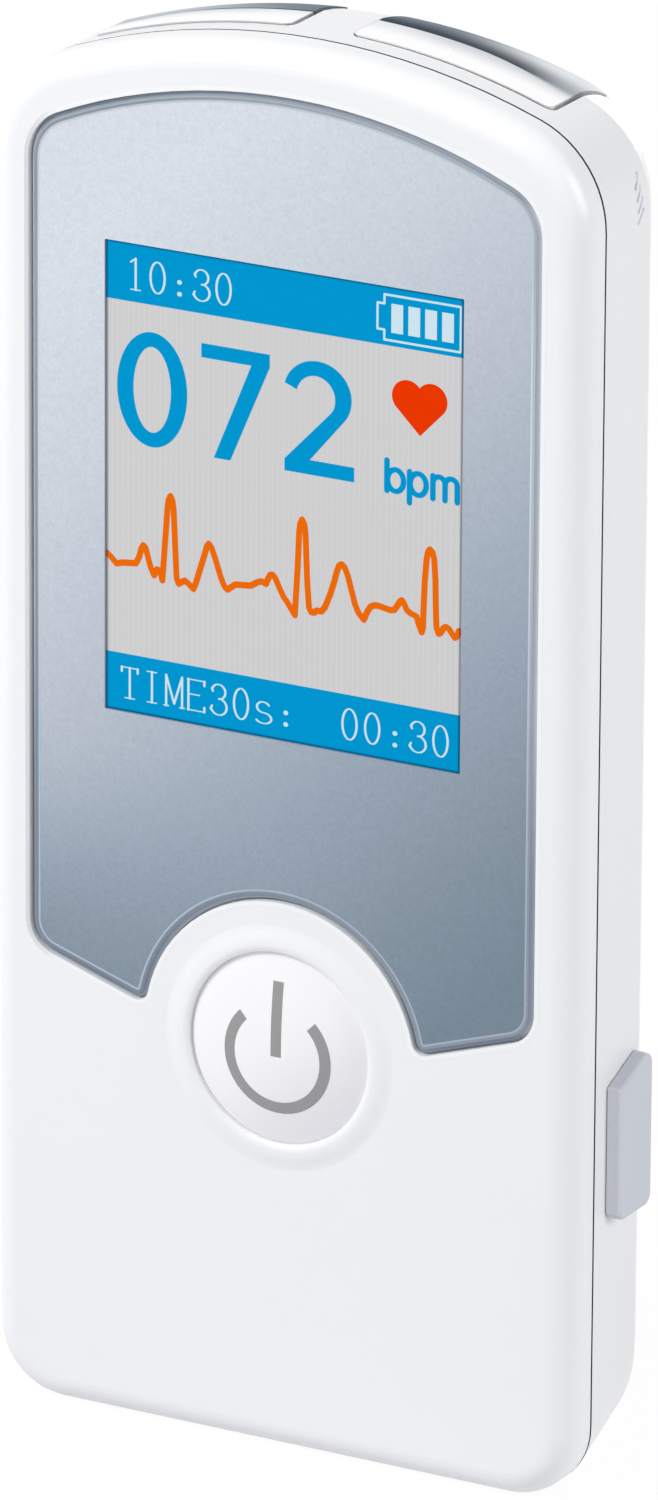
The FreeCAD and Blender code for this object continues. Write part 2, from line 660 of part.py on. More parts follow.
def case_solid(name, front, inset):
    """The case's rear part from a depth to the back, moved in by an inset all round."""
    body = new_body(name)
    sections = [back_outline(body, f"{name}_{station}", station, inset) for station in range(BACK_STATIONS)]
    for part, outlines in (
        ("sides", [side_outline(body, f"{name}_front", front, inset), sections[0]]),
        ("back", sections),
    ):
        loft = body.newObject("PartDesign::AdditiveLoft", f"{name}_{part}")
        loft.Profile = outlines[0]
        loft.Sections = outlines[1:]
    return body


# ------------------------------------------------------------------ places shared by several pieces

FLOOR = "<panel_sink> + <panel_thickness> + <glue_thickness>"
WINDOW_BACK = f"{FLOOR} + <window_thickness>"
GLASS_FRONT = f"{WINDOW_BACK} + <gasket_thickness>"
GLASS_BACK = f"{GLASS_FRONT} + <glass_thickness>"
BOARD_BACK = "<board_depth> + <board_thickness>"
SCREEN_MIDDLE = f"{BUTTON_MIDDLE} + <screen_rise_share> * <body_height>"
SCREEN_HEIGHT = "<screen_height_share> * <body_height>"
GLASS_MIDDLE = f"{SCREEN_MIDDLE} - <glass_drop>"
GLASS_HEIGHT = f"({SCREEN_HEIGHT} + 2 * <glass_margin>)"
GLASS_LOW = f"{GLASS_MIDDLE} - {GLASS_HEIGHT} / 2"
WINDOW_WIDTH = "<screen_width> + 2 * <window_lap>"
WINDOW_HEIGHT = f"{SCREEN_HEIGHT} + 2 * <window_lap>"
CELL_BACK = "<cell_front> + <cell_depth>"
CELL_HEIGHT = "<cell_share> * <body_height>"
CELL_LOW = "<cell_rise_share> * <body_height>"
PROCESSOR_MIDDLE = "<processor_share> * <body_height>"
SWITCH_FRONT = "<board_depth> - <switch_depth>"
PLUNGER_FRONT = f"{SWITCH_FRONT} - <plunger_proud>"
FLANGE_FRONT = "<face_wall> + <flange_gap>"
KEY_HOLE = "(<button_radius> + <button_play>)"
RING_RISE = "(<ring_height> + <ring_sink>)"
RING_RUN = "(<ring_radius> - <ring_crest>)"
RING_CURVE = f"((pow({RING_RUN}; 2) + pow({RING_RISE}; 2)) / (4 * {RING_RISE}))"
RING_FALL = f"(<ring_round> - sqrt(pow(<ring_round>; 2) - pow(<ring_crest> - {KEY_HOLE}; 2)))"
SOCKET_MIDDLE = f"{BUTTON_MIDDLE} - <socket_drop>"
SOCKET_MOUTH = f"{SIDE} - <socket_sink>"
SOCKET_INNER = f"{SOCKET_MOUTH} - <socket_length>"
SOCKET_AXIS = f"{BOARD_BACK} + <socket_depth> / 2"
COVER_TOP = f"({BUTTON_MIDDLE} + <cover_rise>)"
COVER_INNER = f"{SIDE} + <cover_gap>"
STRAP_MIDDLE = f"{COVER_TOP} - <strap_drop>"
BASE_STUD_END = "<electrode_thickness> + <stud_length>"
TOP_STUD_END = (
    f"{CROWN_CENTRE} + sqrt(pow(<crown_radius>; 2) - pow(<stud_spread>; 2))"
    " - <electrode_thickness> - <stud_length>"
)
SCREWS = [
    ("top_left", f"<top_screw_margin> - {SIDE}", "<body_height> - <top_screw_drop>"),
    ("top_right", f"{SIDE} - <top_screw_margin>", "<body_height> - <top_screw_drop>"),
    ("base_left", f"<base_screw_margin> - {SIDE}", "<base_screw_rise>"),
    ("base_right", f"{SIDE} - <base_screw_margin>", "<base_screw_rise>"),
]


def at_screws(name, front, radius, length):
    """One rod at each screw's axis."""
    return [rod(f"{name}_{corner}", x, front, height, radius, length) for corner, x, height in SCREWS]


def socket_block(name, x, length, grow="0"):
    """A block along X with the charging socket's section: two bevelled corners on the board's side."""
    body = new_body(name)
    front = f"{across(BOARD_BACK)} - ({grow})"
    back = f"{across(BOARD_BACK)} + <socket_depth> + ({grow})"
    half = f"(<socket_height> / 2 + ({grow}))"
    bevel = f"(<socket_bevel> + (2 - sqrt(2)) * ({grow}))"
    points = [
        (front, f"{SOCKET_MIDDLE} - {half} + {bevel}"),
        (f"{front} + {bevel}", f"{SOCKET_MIDDLE} - {half}"),
        (back, f"{SOCKET_MIDDLE} - {half}"),
        (back, f"{SOCKET_MIDDLE} + {half}"),
        (f"{front} + {bevel}", f"{SOCKET_MIDDLE} + {half}"),
        (front, f"{SOCKET_MIDDLE} + {half} - {bevel}"),
    ]
    pad(body, polygon(side_sketch(body, f"{name}_profile", x), points), length)
    return body


# ------------------------------------------------------------------ electrodes

def plan_block(name, left, right, low, high, tall, grow="0"):
    """An upright block whose plan is an electrode's: rounded corners, grown by a gap."""
    body = new_body(name)
    sketch = rounded_rectangle(
        level_sketch(body, f"{name}_plan", low),
        f"{left} - {grow}",
        f"{right} + {grow}",
        f"{across('<electrode_front>')} - {grow}",
        f"{across(high)} + {grow}",
        f"<electrode_corner> + {grow}",
    )
    pad(body, sketch, tall)
    return body


electrode_skin = case_solid("electrode_skin", "<seam_depth> + <seam_gap>", "-<electrode_proud>")
electrode_bed = case_solid(
    "electrode_bed", "<seam_depth> + <seam_gap> - <beyond>", "<electrode_thickness> - <electrode_proud>"
)
electrodes = {}
electrode_recesses = []
stud_holes = []
TOP_LOW = "<body_height> - <electrode_drop>"
for side, left, right, stud in (
    ("left", f"<electrode_margin> - {SIDE}", "-<electrode_start>", "-<stud_spread>"),
    ("right", "<electrode_start>", f"{SIDE} - <electrode_margin>", "<stud_spread>"),
):
    block = plan_block(
        f"electrode_{side}_block", left, right, TOP_LOW, "<electrode_back>", "<electrode_drop> + <beyond>"
    )
    skin = common(f"electrode_{side}_skin", electrode_skin, block)
    plate = cut(f"electrode_{side}_plate", skin, electrode_bed)
    stud_rod = post(
        f"electrode_{side}_stud", stud, "<stud_depth>", TOP_STUD_END, "<stud_radius>",
        "<stud_length> + <electrode_thickness>",
    )
    electrodes[side] = fuse(f"electrode_{side}", plate, stud_rod)
    hollow = plan_block(
        f"electrode_{side}_hollow", left, right, TOP_LOW, "<electrode_back>",
        "<electrode_drop> + <beyond>", "<electrode_play>",
    )
    electrode_recesses.append(cut(f"electrode_{side}_recess", hollow, electrode_bed))
    stud_holes.append(post(
        f"stud_{side}_hole", stud, "<stud_depth>", TOP_STUD_END, "<stud_radius> + <stud_play>",
        "<stud_length> + <electrode_thickness>",
    ))

base_plate = plan_block(
    "base_plate", f"<base_plate_margin> - {SIDE}", f"{SIDE} - <base_plate_margin>", "0", "<base_plate_back>",
    "<electrode_thickness>",
)
base_stud = post("base_stud", "0", "<stud_depth>", "0", "<stud_radius>", BASE_STUD_END)
electrode_base = fuse("electrode_base", base_plate, base_stud)
base_recess = plan_block(
    "base_recess", f"<base_plate_margin> - {SIDE}", f"{SIDE} - <base_plate_margin>", "-<beyond>",
    "<base_plate_back>", "<electrode_thickness> + <beyond>", "<electrode_play>",
)
base_stud_hole = post(
    "base_stud_hole", "0", "<stud_depth>", "0", "<stud_radius> + <stud_play>", BASE_STUD_END
)


def contact(name, x, end, up):
    """A spring contact: a foot on the board and a leaf across a stud's end."""
    body = new_body(name)
    y0 = across(BOARD_BACK)
    y1 = f"{across('<stud_depth>')} + <stud_radius>"
    sign = "-" if up else "+"
    leaf = f"{end} {sign} <contact_strip>"
    foot = f"{end} {sign} <contact_foot>"
    points = [
        (y0, end), (y1, end), (y1, leaf), (f"{y0} + <contact_strip>", leaf),
        (f"{y0} + <contact_strip>", foot), (y0, foot),
    ]
    sketch = polygon(side_sketch(body, f"{name}_profile", f"{x} - <contact_width> / 2"), points)
    pad(body, sketch, "<contact_width>")
    return body


electrode_contacts = group("electrode_contacts", [
    contact("contact_left", "-<stud_spread>", TOP_STUD_END, True),
    contact("contact_right", "<stud_spread>", TOP_STUD_END, True),
    contact("contact_base", "0", BASE_STUD_END, False),
])

# ------------------------------------------------------------------ front shell

front_block = slab("front_block", side_outline, "0", "<seam_depth>")
ease(front_block, "Fillet", "<front_edge>", 1, -1)
front_hollow = slab("front_hollow", side_outline, "<face_wall>", "<seam_depth> + <beyond>", "<wall>")
tongue_rebate = slab(
    "tongue_rebate", side_outline, "<seam_depth> - <tongue_length> - <tongue_play>",
    "<seam_depth> + <beyond>", "<wall> - <tongue_wall> - <tongue_play>",
)
panel_recess = slab("panel_recess", panel_outline, "-<beyond>", FLOOR, "<panel_play>")
window_opening = centred_box(
    "window_opening", "0", "0", SCREEN_MIDDLE, f"{WINDOW_WIDTH} + 2 * <fit_gap>",
    "<face_wall> + <beyond>", f"{WINDOW_HEIGHT} + 2 * <fit_gap>",
)
button_hole = rod(
    "button_hole", "0", "-<beyond>", BUTTON_MIDDLE, KEY_HOLE, "<face_wall> + 2 * <beyond>"
)
button_ring = turned(
    "button_ring", "0", BUTTON_MIDDLE,
    [
        (across("<face_wall> / 2"), KEY_HOLE),
        (across(f"{RING_FALL} - <ring_height>"), KEY_HOLE),
        (across("-<ring_height>"), "<ring_crest>"),
        (across(f"<ring_sink> - {RING_RISE} / 2"), "(<ring_crest> + <ring_radius>) / 2"),
        (across("<ring_sink>"), "<ring_radius>"),
        (across("<face_wall> / 2"), "<ring_radius>"),
    ],
    left_turns={3: RING_CURVE},
    right_turns={1: "<ring_round>", 2: RING_CURVE},
)
front_posts = at_screws("front_post", "<face_wall> / 2", "<post_radius>", "<board_depth> - <face_wall> / 2")
front_pilots = at_screws(
    "front_pilot", "<screw_seat> - <screw_length> - <pilot_spare>", "<screw_radius> + <thread_play>",
    "<board_depth>",
)
front_cup = cut("front_cup", front_block, front_hollow, tongue_rebate)
front_blank = fuse("front_blank", front_cup, button_ring, *front_posts)
front_shell = cut("front_shell", front_blank, panel_recess, window_opening, button_hole, *front_pilots)

# ------------------------------------------------------------------ rear shell

rear_solid = case_solid("rear_solid", "<seam_depth> + <seam_gap>", "0")
rear_hollow = case_solid("rear_hollow", "<seam_depth> + <seam_gap> - <beyond>", "<wall>")
rear_cup = cut("rear_cup", rear_solid, rear_hollow)
TONGUE_FRONT = "<seam_depth> - <tongue_length>"
tongue_block = slab(
    "tongue_block", side_outline, TONGUE_FRONT, "<seam_depth> + <seam_gap> + <beyond>",
    "<wall> - <tongue_wall>",
)
tongue_hollow = slab(
    "tongue_hollow", side_outline, f"{TONGUE_FRONT} - <beyond>", "<seam_depth> + <seam_gap> + 2 * <beyond>",
    "<wall>",
)
tongue_ring = cut("tongue_ring", tongue_block, tongue_hollow)
rear_bosses = at_screws("rear_boss", BOARD_BACK, "<boss_radius>", f"<body_depth> - ({BOARD_BACK})")
RIB_LOW = f"{CELL_LOW} + <pad_inset>"
RIB_TALL = f"{CELL_HEIGHT} - 2 * <pad_inset>"
rear_ribs = [
    box(
        f"rear_rib_{side}", f"{sign}<rib_spread> - <rib_width> / 2", f"{CELL_BACK} + <pad_thickness>",
        RIB_LOW, "<rib_width>", f"<body_depth> - ({CELL_BACK} + <pad_thickness>)", RIB_TALL,
    )
    for side, sign in (("left", "-"), ("right", ""))
]
rear_inner = common("rear_inner", fuse("rear_supports", *rear_bosses, *rear_ribs), rear_solid)
rear_blank = fuse("rear_blank", rear_cup, tongue_ring, rear_inner)
screw_shanks = at_screws(
    "screw_shank_hole", "<board_depth>", "<screw_radius> + <shank_play>", "<body_depth>"
)
screw_sinks = at_screws("screw_sink", "<screw_seat>", "<screw_head> + <head_play>", "<body_depth>")
socket_opening = socket_block(
    "socket_opening", f"{SOCKET_MOUTH} - <beyond>", "<socket_sink> + 2 * <beyond>", "<socket_play>"
)
strap_opening = box(
    "strap_opening", f"{SIDE} - <wall> - <beyond>", "<strap_at> - <strap_depth> / 2 - <strap_play>",
    f"{STRAP_MIDDLE} - <strap_thickness> / 2 - <strap_play>", "<wall> + 2 * <beyond>",
    "<strap_depth> + 2 * <strap_play>", "<strap_thickness> + 2 * <strap_play>",
)


def sound_slot(name, step):
    """A slanted slot through the right wall."""
    slot = doc.addObject("Part::Box", name)
    bind(slot, "Length", "<wall> + 2 * <beyond>")
    bind(slot, "Width", "<slot_width>")
    bind(slot, "Height", "<slot_length>")
    slot.Placement.Rotation = FreeCAD.Rotation(-X_AXIS, value("<slot_tilt>"))
    bind(slot, "Placement.Rotation.Angle", "<slot_tilt>")
    lean_y = "(<slot_width> * cos(<slot_tilt>) + <slot_length> * sin(<slot_tilt>)) / 2"
    lean_z = "(<slot_length> * cos(<slot_tilt>) - <slot_width> * sin(<slot_tilt>)) / 2"
    place(
        slot, f"{SIDE} - <wall> - <beyond>", f"<slot_depth> - {lean_y}",
        f"<body_height> - <slot_drop> + {step} * <slot_pitch> - {lean_z}",
    )
    return slot


SLOT_STEPS = (-1.5, -0.5, 0.5, 1.5)  # the slots' places about their middle
sound_slots = [sound_slot(f"sound_slot_{number}", step) for number, step in enumerate(SLOT_STEPS, start=1)]
rear_shell = cut(
    "rear_shell", rear_blank, *screw_shanks, *screw_sinks, socket_opening, strap_opening, *sound_slots,
    *electrode_recesses, *stud_holes, base_recess, base_stud_hole,
)

# ------------------------------------------------------------------ panel, window and display

face_panel = slab("face_panel", panel_outline, "<panel_sink>", "<panel_sink> + <panel_thickness>")
ease(face_panel, "Chamfer", "<panel_bevel>", 1, -1)
screen_sketch = rounded_rectangle(
    front_sketch(face_panel, "screen_opening", "<panel_sink>"),
    "-<screen_width> / 2", "<screen_width> / 2",
    f"{SCREEN_MIDDLE} - {SCREEN_HEIGHT} / 2", f"{SCREEN_MIDDLE} + {SCREEN_HEIGHT} / 2",
    "<fit_gap>",
)
screen_pocket = face_panel.newObject("PartDesign::Pocket", "screen_pocket")
screen_pocket.Profile = screen_sketch
bind(screen_pocket, "Length", "<panel_thickness>")

glue_sheet = slab(
    "glue_sheet", panel_outline, "<panel_sink> + <panel_thickness>", FLOOR, "-<glue_inset>"
)
glue_window = centred_box(
    "glue_window", "0", "0", SCREEN_MIDDLE, "<screen_width>", "<face_wall>", SCREEN_HEIGHT
)
panel_adhesive = cut("panel_adhesive", glue_sheet, glue_window)
display_window = centred_box(
    "display_window", "0", FLOOR, SCREEN_MIDDLE, WINDOW_WIDTH, "<window_thickness>", WINDOW_HEIGHT
)
gasket_sheet = centred_box(
    "gasket_sheet", "0", WINDOW_BACK, SCREEN_MIDDLE, WINDOW_WIDTH, "<gasket_thickness>", WINDOW_HEIGHT
)
gasket_hole = centred_box(
    "gasket_hole", "0", "0", SCREEN_MIDDLE, "<screen_width>", "<board_depth>", SCREEN_HEIGHT
)
window_gasket = cut("window_gasket", gasket_sheet, gasket_hole)
lcd_glass = centred_box(
    "lcd_glass", "0", GLASS_FRONT, GLASS_MIDDLE, "<glass_width>", "<glass_thickness>", GLASS_HEIGHT
)
backlight = box(
    "backlight", "-<glass_width> / 2", GLASS_BACK, f"{GLASS_LOW} + <ledge>", "<glass_width>",
    f"<board_depth> - ({GLASS_BACK})", f"{GLASS_HEIGHT} - <ledge>",
)

RIBBON_FOOT = "<board_depth> - <ribbon_socket_depth> / 2"
RIBBON_TOP = f"{GLASS_LOW} + <ledge> - <fit_gap>"
RIBBON_BEND = f"{GLASS_LOW} - <fit_gap>"
RIBBON_LOW = f"{RIBBON_BEND} - <ribbon_fall>"
SOCKET_TOP = f"{RIBBON_LOW} - <fit_gap>"
ribbon_front = across(GLASS_BACK)
ribbon_back = f"{ribbon_front} + <ribbon_thickness>"
foot_front = across(RIBBON_FOOT)
foot_back = f"{foot_front} + <ribbon_thickness>"
lcd_ribbon = new_body("lcd_ribbon")
ribbon_sketch = polygon(
    side_sketch(lcd_ribbon, "ribbon_profile", "-<ribbon_width> / 2"),
    [
        (ribbon_front, RIBBON_TOP), (ribbon_front, RIBBON_BEND), (foot_front, RIBBON_LOW),
        (foot_front, SOCKET_TOP), (foot_back, SOCKET_TOP), (foot_back, RIBBON_LOW),
        (ribbon_back, RIBBON_BEND), (ribbon_back, RIBBON_TOP),
    ],
)
pad(lcd_ribbon, ribbon_sketch, "<ribbon_width>")
ribbon_socket = centred_box(
    "ribbon_socket", "0", "<board_depth> - <ribbon_socket_depth>",
    f"{SOCKET_TOP} - <ribbon_socket_height> / 2", "<ribbon_width> + <ribbon_socket_height> / 2",
    "<ribbon_socket_depth>", "<ribbon_socket_height>",
)

# ------------------------------------------------------------------ button and switch

power_button = turned(
    "power_button", "0", BUTTON_MIDDLE,
    [
        (across(PLUNGER_FRONT), "0"),
        (across(PLUNGER_FRONT), "<stem_radius>"),
        (across(f"{FLANGE_FRONT} + <flange_thickness>"), "<stem_radius>"),
        (across(f"{FLANGE_FRONT} + <flange_thickness>"), "<flange_radius>"),
        (across(FLANGE_FRONT), "<flange_radius>"),
        (across(FLANGE_FRONT), "<button_radius>"),
        (across("<button_edge>"), "<button_radius>"),
        (across("-<button_proud>"), "0"),
    ],
    left_turns={
        6: "(pow(<button_radius>; 2) + pow(<button_edge> + <button_proud>; 2))"
           " / (2 * (<button_edge> + <button_proud>))",
    },
)
switch_case = centred_box(
    "switch_case", "0", SWITCH_FRONT, BUTTON_MIDDLE, "<switch_width>", "<switch_depth>",
    "<switch_width>",
)
switch_bore = rod(
    "switch_bore", "0", f"{SWITCH_FRONT} - <beyond>", BUTTON_MIDDLE, "<plunger_radius> + <plunger_play>",
    "<beyond> + <plunger_sunk> + <button_travel> + <plunger_play>",
)
switch_body = cut("switch_body", switch_case, switch_bore)
switch_plunger = rod(
    "switch_plunger", "0", PLUNGER_FRONT, BUTTON_MIDDLE, "<plunger_radius>",
    "<plunger_proud> + <plunger_sunk>",
)

# ------------------------------------------------------------------ main board

board_sheet = slab("board_sheet", side_outline, "<board_depth>", BOARD_BACK, "<board_inset>", "<board_corner>")
board_holes = at_screws("board_hole", "0", "<screw_radius> + <shank_play>", "<screw_seat>")
main_board = cut("main_board", board_sheet, *board_holes)
processor = centred_box(
    "processor", "0", BOARD_BACK, PROCESSOR_MIDDLE, "<processor_width>", "<chip_depth>",
    "<processor_width>",
)
amplifier = centred_box(
    "amplifier", "0", BOARD_BACK, "<body_height> - <amplifier_drop>", "<amplifier_width>", "<chip_depth>",
    "<amplifier_width>",
)
memory_chip = centred_box(
    "memory_chip", "-<memory_offset>", BOARD_BACK, PROCESSOR_MIDDLE, "<memory_width>", "<chip_depth>",
    "<memory_width>",
)
radio_module = centred_box(
    "radio_module", f"<radio_margin> - {SIDE}", BOARD_BACK, "<radio_rise>", "<radio_width>", "<radio_depth>",
    "<radio_height>",
)
buzzer_can = rod(
    "buzzer_can", f"{SIDE} - <buzzer_margin>", BOARD_BACK, "<body_height> - <buzzer_drop>",
    "<buzzer_radius>", "<buzzer_depth>"
)
buzzer_port = rod(
    "buzzer_port", f"{SIDE} - <buzzer_margin>", f"{BOARD_BACK} + <buzzer_depth> - <buzzer_hole_depth>",
    "<body_height> - <buzzer_drop>", "<buzzer_hole>", "<buzzer_hole_depth> + <beyond>",
)
buzzer = cut("buzzer", buzzer_can, buzzer_port)

# ------------------------------------------------------------------ charging socket and its cover

socket_case = socket_block("socket_case", SOCKET_INNER, "<socket_length>")
socket_cavity = socket_block(
    "socket_cavity", SOCKET_INNER, "<socket_length> + <beyond>", "-<socket_shell>"
)
usb_shell = cut("usb_shell", socket_case, socket_cavity)
socket_plug = socket_block("socket_plug", SOCKET_INNER, "<socket_back>", "-<socket_shell>")
socket_tongue = box(
    "socket_tongue", SOCKET_INNER, f"{SOCKET_AXIS} - <contact_depth> / 2",
    f"{SOCKET_MIDDLE} - <contact_height> / 2", "<socket_back> + <contact_reach>", "<contact_depth>",
    "<contact_height>",
)
usb_insulator = fuse("usb_insulator", socket_plug, socket_tongue)

cover_block = new_body("cover_block")
COVER_LOW = f"{COVER_TOP} - <cover_height>"
cover_front_y = across("<cover_front>")
cover_back_y = across("<cover_back>")
cover_sketch = polygon(
    side_sketch(cover_block, "cover_profile", COVER_INNER),
    [
        (f"{cover_front_y} + <cover_corner>", COVER_LOW),
        (f"{cover_back_y} - <cover_corner>", COVER_LOW),
        (cover_back_y, f"{COVER_LOW} + <cover_corner>"),
        (cover_back_y, f"{COVER_TOP} - <cover_corner>"),
        (f"{cover_back_y} - <cover_corner>", COVER_TOP),
        (cover_front_y, f"{COVER_TOP} - <cover_slope>"),
        (cover_front_y, f"{COVER_LOW} + <cover_corner>"),
    ],
    left_turns={1: "<cover_corner>", 3: "<cover_corner>", 6: "<cover_corner>"},
)
pad(cover_block, cover_sketch, "<cover_thickness>")
ease(cover_block, "Fillet", "<cover_edge>", 0, 1)
cover_plug = box(
    "cover_plug", f"{SOCKET_MOUTH} - <plug_reach>", f"{SOCKET_AXIS} - <plug_depth> / 2",
    f"{SOCKET_MIDDLE} - <plug_height> / 2", "<plug_reach> + <socket_sink> + <cover_gap> + <cover_edge>",
    "<plug_depth>", "<plug_height>",
)
usb_cover = fuse("usb_cover", cover_block, cover_plug)
strap = box(
    "strap", f"{SIDE} - <wall> - <anchor_gap>", "<strap_at> - <strap_depth> / 2",
    f"{STRAP_MIDDLE} - <strap_thickness> / 2", "<wall> + <anchor_gap> + <cover_gap>", "<strap_depth>",
    "<strap_thickness>",
)
anchor = box(
    "anchor", f"{SIDE} - <wall> - <anchor_gap> - <anchor_thickness>", "<strap_at> - <anchor_depth> / 2",
    f"{STRAP_MIDDLE} - <strap_thickness> / 2", "<anchor_thickness>", "<anchor_depth>",
    "<strap_thickness>",
)
usb_cover_anchor = fuse("usb_cover_anchor", strap, anchor)

# ------------------------------------------------------------------ battery

battery_cell = new_body("battery_cell")
cell_sketch = rounded_rectangle(
    level_sketch(battery_cell, "cell_plan", CELL_LOW),
    "-<cell_width> / 2", "<cell_width> / 2", across("<cell_front>"), across(CELL_BACK), "<cell_edge>",
)
pad(battery_cell, cell_sketch, CELL_HEIGHT)
battery_pad = box(
    "battery_pad", "-<cell_width> / 2 + <pad_inset>", CELL_BACK, RIB_LOW,
    "<cell_width> - 2 * <pad_inset>", "<pad_thickness>", RIB_TALL,
)
LEAD_DEPTH = "<cell_front> + <cell_depth> / 2"
LEAD_LOW = f"{CELL_LOW} - <lead_fall>"
LEAD_PLUG_BACK = f"{BOARD_BACK} + <lead_plug_depth>"


def lead(name, x):
    """A battery lead: down from the cell, round a bend and forward to its connector."""
    body = new_body(name)
    path = polygon(
        side_sketch(body, f"{name}_path", x),
        [
            (across(LEAD_DEPTH), CELL_LOW),
            (across(LEAD_DEPTH), f"{LEAD_LOW} + <lead_bend>"),
            (f"{across(LEAD_DEPTH)} - <lead_bend>", LEAD_LOW),
            (across(LEAD_PLUG_BACK), LEAD_LOW),
        ],
        right_turns={1: "<lead_bend>"}, closed=False,
    )
    section = level_sketch(body, f"{name}_section", CELL_LOW)
    centre = FreeCAD.Vector(value(x), value(across(LEAD_DEPTH)), 0)
    section.addGeometry(Part.Circle(centre, Z_AXIS, value("<lead_radius>")), False)
    constrain(section, "radius", "Radius", 0, size="<lead_radius>")
    pin(section, "centre", 0, 3, x, across(LEAD_DEPTH))
    pipe = body.newObject("PartDesign::AdditivePipe", f"{name}_pipe")
    pipe.Profile = section
    pipe.Spine = (path, [])
    return body


battery_leads = group("battery_leads", [
    lead("lead_red", "<lead_offset> - <lead_spread>"),
    lead("lead_black", "<lead_offset> + <lead_spread>"),
])
battery_connector = centred_box(
    "battery_connector", "<lead_offset>", BOARD_BACK, LEAD_LOW, "<lead_plug_width>",
    "<lead_plug_depth>", "<lead_plug_height>",
)

# ------------------------------------------------------------------ screws

screws = []
for corner, x, height in SCREWS:
    screw = turned(
        f"screw_{corner}", x, height,
        [
            (across("<screw_seat> - <screw_length>"), "0"),
            (across("<screw_seat> + <screw_head_depth> - <screw_socket_depth>"), "0"),
            (across("<screw_seat> + <screw_head_depth> - <screw_socket_depth>"), "<screw_socket>"),
            (across("<screw_seat> + <screw_head_depth>"), "<screw_socket>"),
            (across("<screw_seat> + <screw_head_depth>"), "<screw_head>"),
            (across("<screw_seat>"), "<screw_head>"),
            (across("<screw_seat>"), "<screw_radius>"),
            (across("<screw_seat> - <screw_length>"), "<screw_radius>"),
        ],
    )
    screws.append(screw)
housing_screws = group("housing_screws", screws)

# ------------------------------------------------------------------ checks and files

NODES = {
    "front_shell": front_shell,
    "rear_shell": rear_shell,
    "face_panel": face_panel,
    "panel_adhesive": panel_adhesive,
    "display_window": display_window,
    "window_gasket": window_gasket,
    "lcd_glass": lcd_glass,
    "backlight": backlight,
    "lcd_ribbon": lcd_ribbon,
    "ribbon_socket": ribbon_socket,
    "power_button": power_button,
    "switch_body": switch_body,
    "switch_plunger": switch_plunger,
    "main_board": main_board,
    "processor": processor,
    "amplifier": amplifier,
    "memory_chip": memory_chip,
    "radio_module": radio_module,
    "buzzer": buzzer,
    "usb_shell": usb_shell,
    "usb_insulator": usb_insulator,
    "usb_cover": usb_cover,
    "usb_cover_anchor": usb_cover_anchor,
    "electrode_left": electrodes["left"],
    "electrode_right": electrodes["right"],
    "electrode_base": electrode_base,
    "electrode_contacts": electrode_contacts,
    "battery_cell": battery_cell,
    "battery_pad": battery_pad,
    "battery_leads": battery_leads,
    "battery_connector": battery_connector,
    "housing_screws": housing_screws,
}

doc.recompute()
for thing in doc.Objects:
    if "Invalid" in thing.State or "Error" in thing.State:
        raise RuntimeError(f"{thing.Name} did not compute: {thing.State}")
for name, thing in NODES.items():
    if thing.Shape.isNull() or not thing.Shape.isValid() or not thing.Shape.Solids:
        raise RuntimeError(f"{name} is not a sound solid")

os.makedirs("parts", exist_ok=True)
for name, thing in NODES.items():
    thing.Label = name
    thing.Shape.exportStep(f"parts/{name}.step")
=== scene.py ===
import math

import bmesh
import bpy
from mathutils import Matrix, Vector
from mathutils.geometry import delaunay_2d_cdt


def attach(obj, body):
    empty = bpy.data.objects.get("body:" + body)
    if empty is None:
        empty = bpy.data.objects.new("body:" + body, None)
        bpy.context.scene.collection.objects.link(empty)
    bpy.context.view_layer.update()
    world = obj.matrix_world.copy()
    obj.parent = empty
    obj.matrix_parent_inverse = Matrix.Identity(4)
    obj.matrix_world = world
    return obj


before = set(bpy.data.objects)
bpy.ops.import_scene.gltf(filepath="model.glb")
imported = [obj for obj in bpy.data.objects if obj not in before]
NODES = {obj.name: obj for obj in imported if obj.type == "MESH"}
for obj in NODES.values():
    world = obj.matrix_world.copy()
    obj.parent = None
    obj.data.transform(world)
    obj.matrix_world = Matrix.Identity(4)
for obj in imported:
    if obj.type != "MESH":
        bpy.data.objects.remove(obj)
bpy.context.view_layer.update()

MM = 0.001
FACE_Y = -9.0 * MM
BUTTON_HEIGHT = 30.0  # of the button's middle, in mm
BUTTON_Z = BUTTON_HEIGHT * MM


def depth(mm):
    """The Y of a depth behind the front face."""
    return FACE_Y + mm * MM


def paint(red, green, blue):
    """A colour written as 0 to 255, in linear light."""
    levels = [level / 255 for level in (red, green, blue)]
    linear = [c / 12.92 if c <= 0.04045 else ((c + 0.055) / 1.055) ** 2.4 for c in levels]
    return (*linear, 1.0)


# ------------------------------------------------------------------ finishes

# Places and sizes, in mm
FRONT_EDGE = -5.9  # rear edge of the front shell along Y
REAR_EDGE = -5.7  # front edge of the rear shell along Y
EDGE_MARGIN = 0.004  # how far an edge's colour reaches past it
ELECTRODE_X, ELECTRODE_Y = 10.025, 0.5  # middle of a top electrode, seen from above
ELECTRODE_HALF_X, ELECTRODE_HALF_Y, ELECTRODE_CORNER = 7.625, 4.3, 0.6
FLAKE, MOTTLE = 0.14, 0.45  # sizes of the specks in the panel's lacquer
CLOUD = 12.0  # size of the soft unevenness in plastic and rubber
PIXEL_PITCH = 0.42
SCREEN_HALF = 13.93  # half the picture's width
SCREEN_LOW, SCREEN_HIGH = 22.49, 56.41  # above the button's middle
SHADE_LEFT = 0.06  # how far the shadow round the picture lies to the left

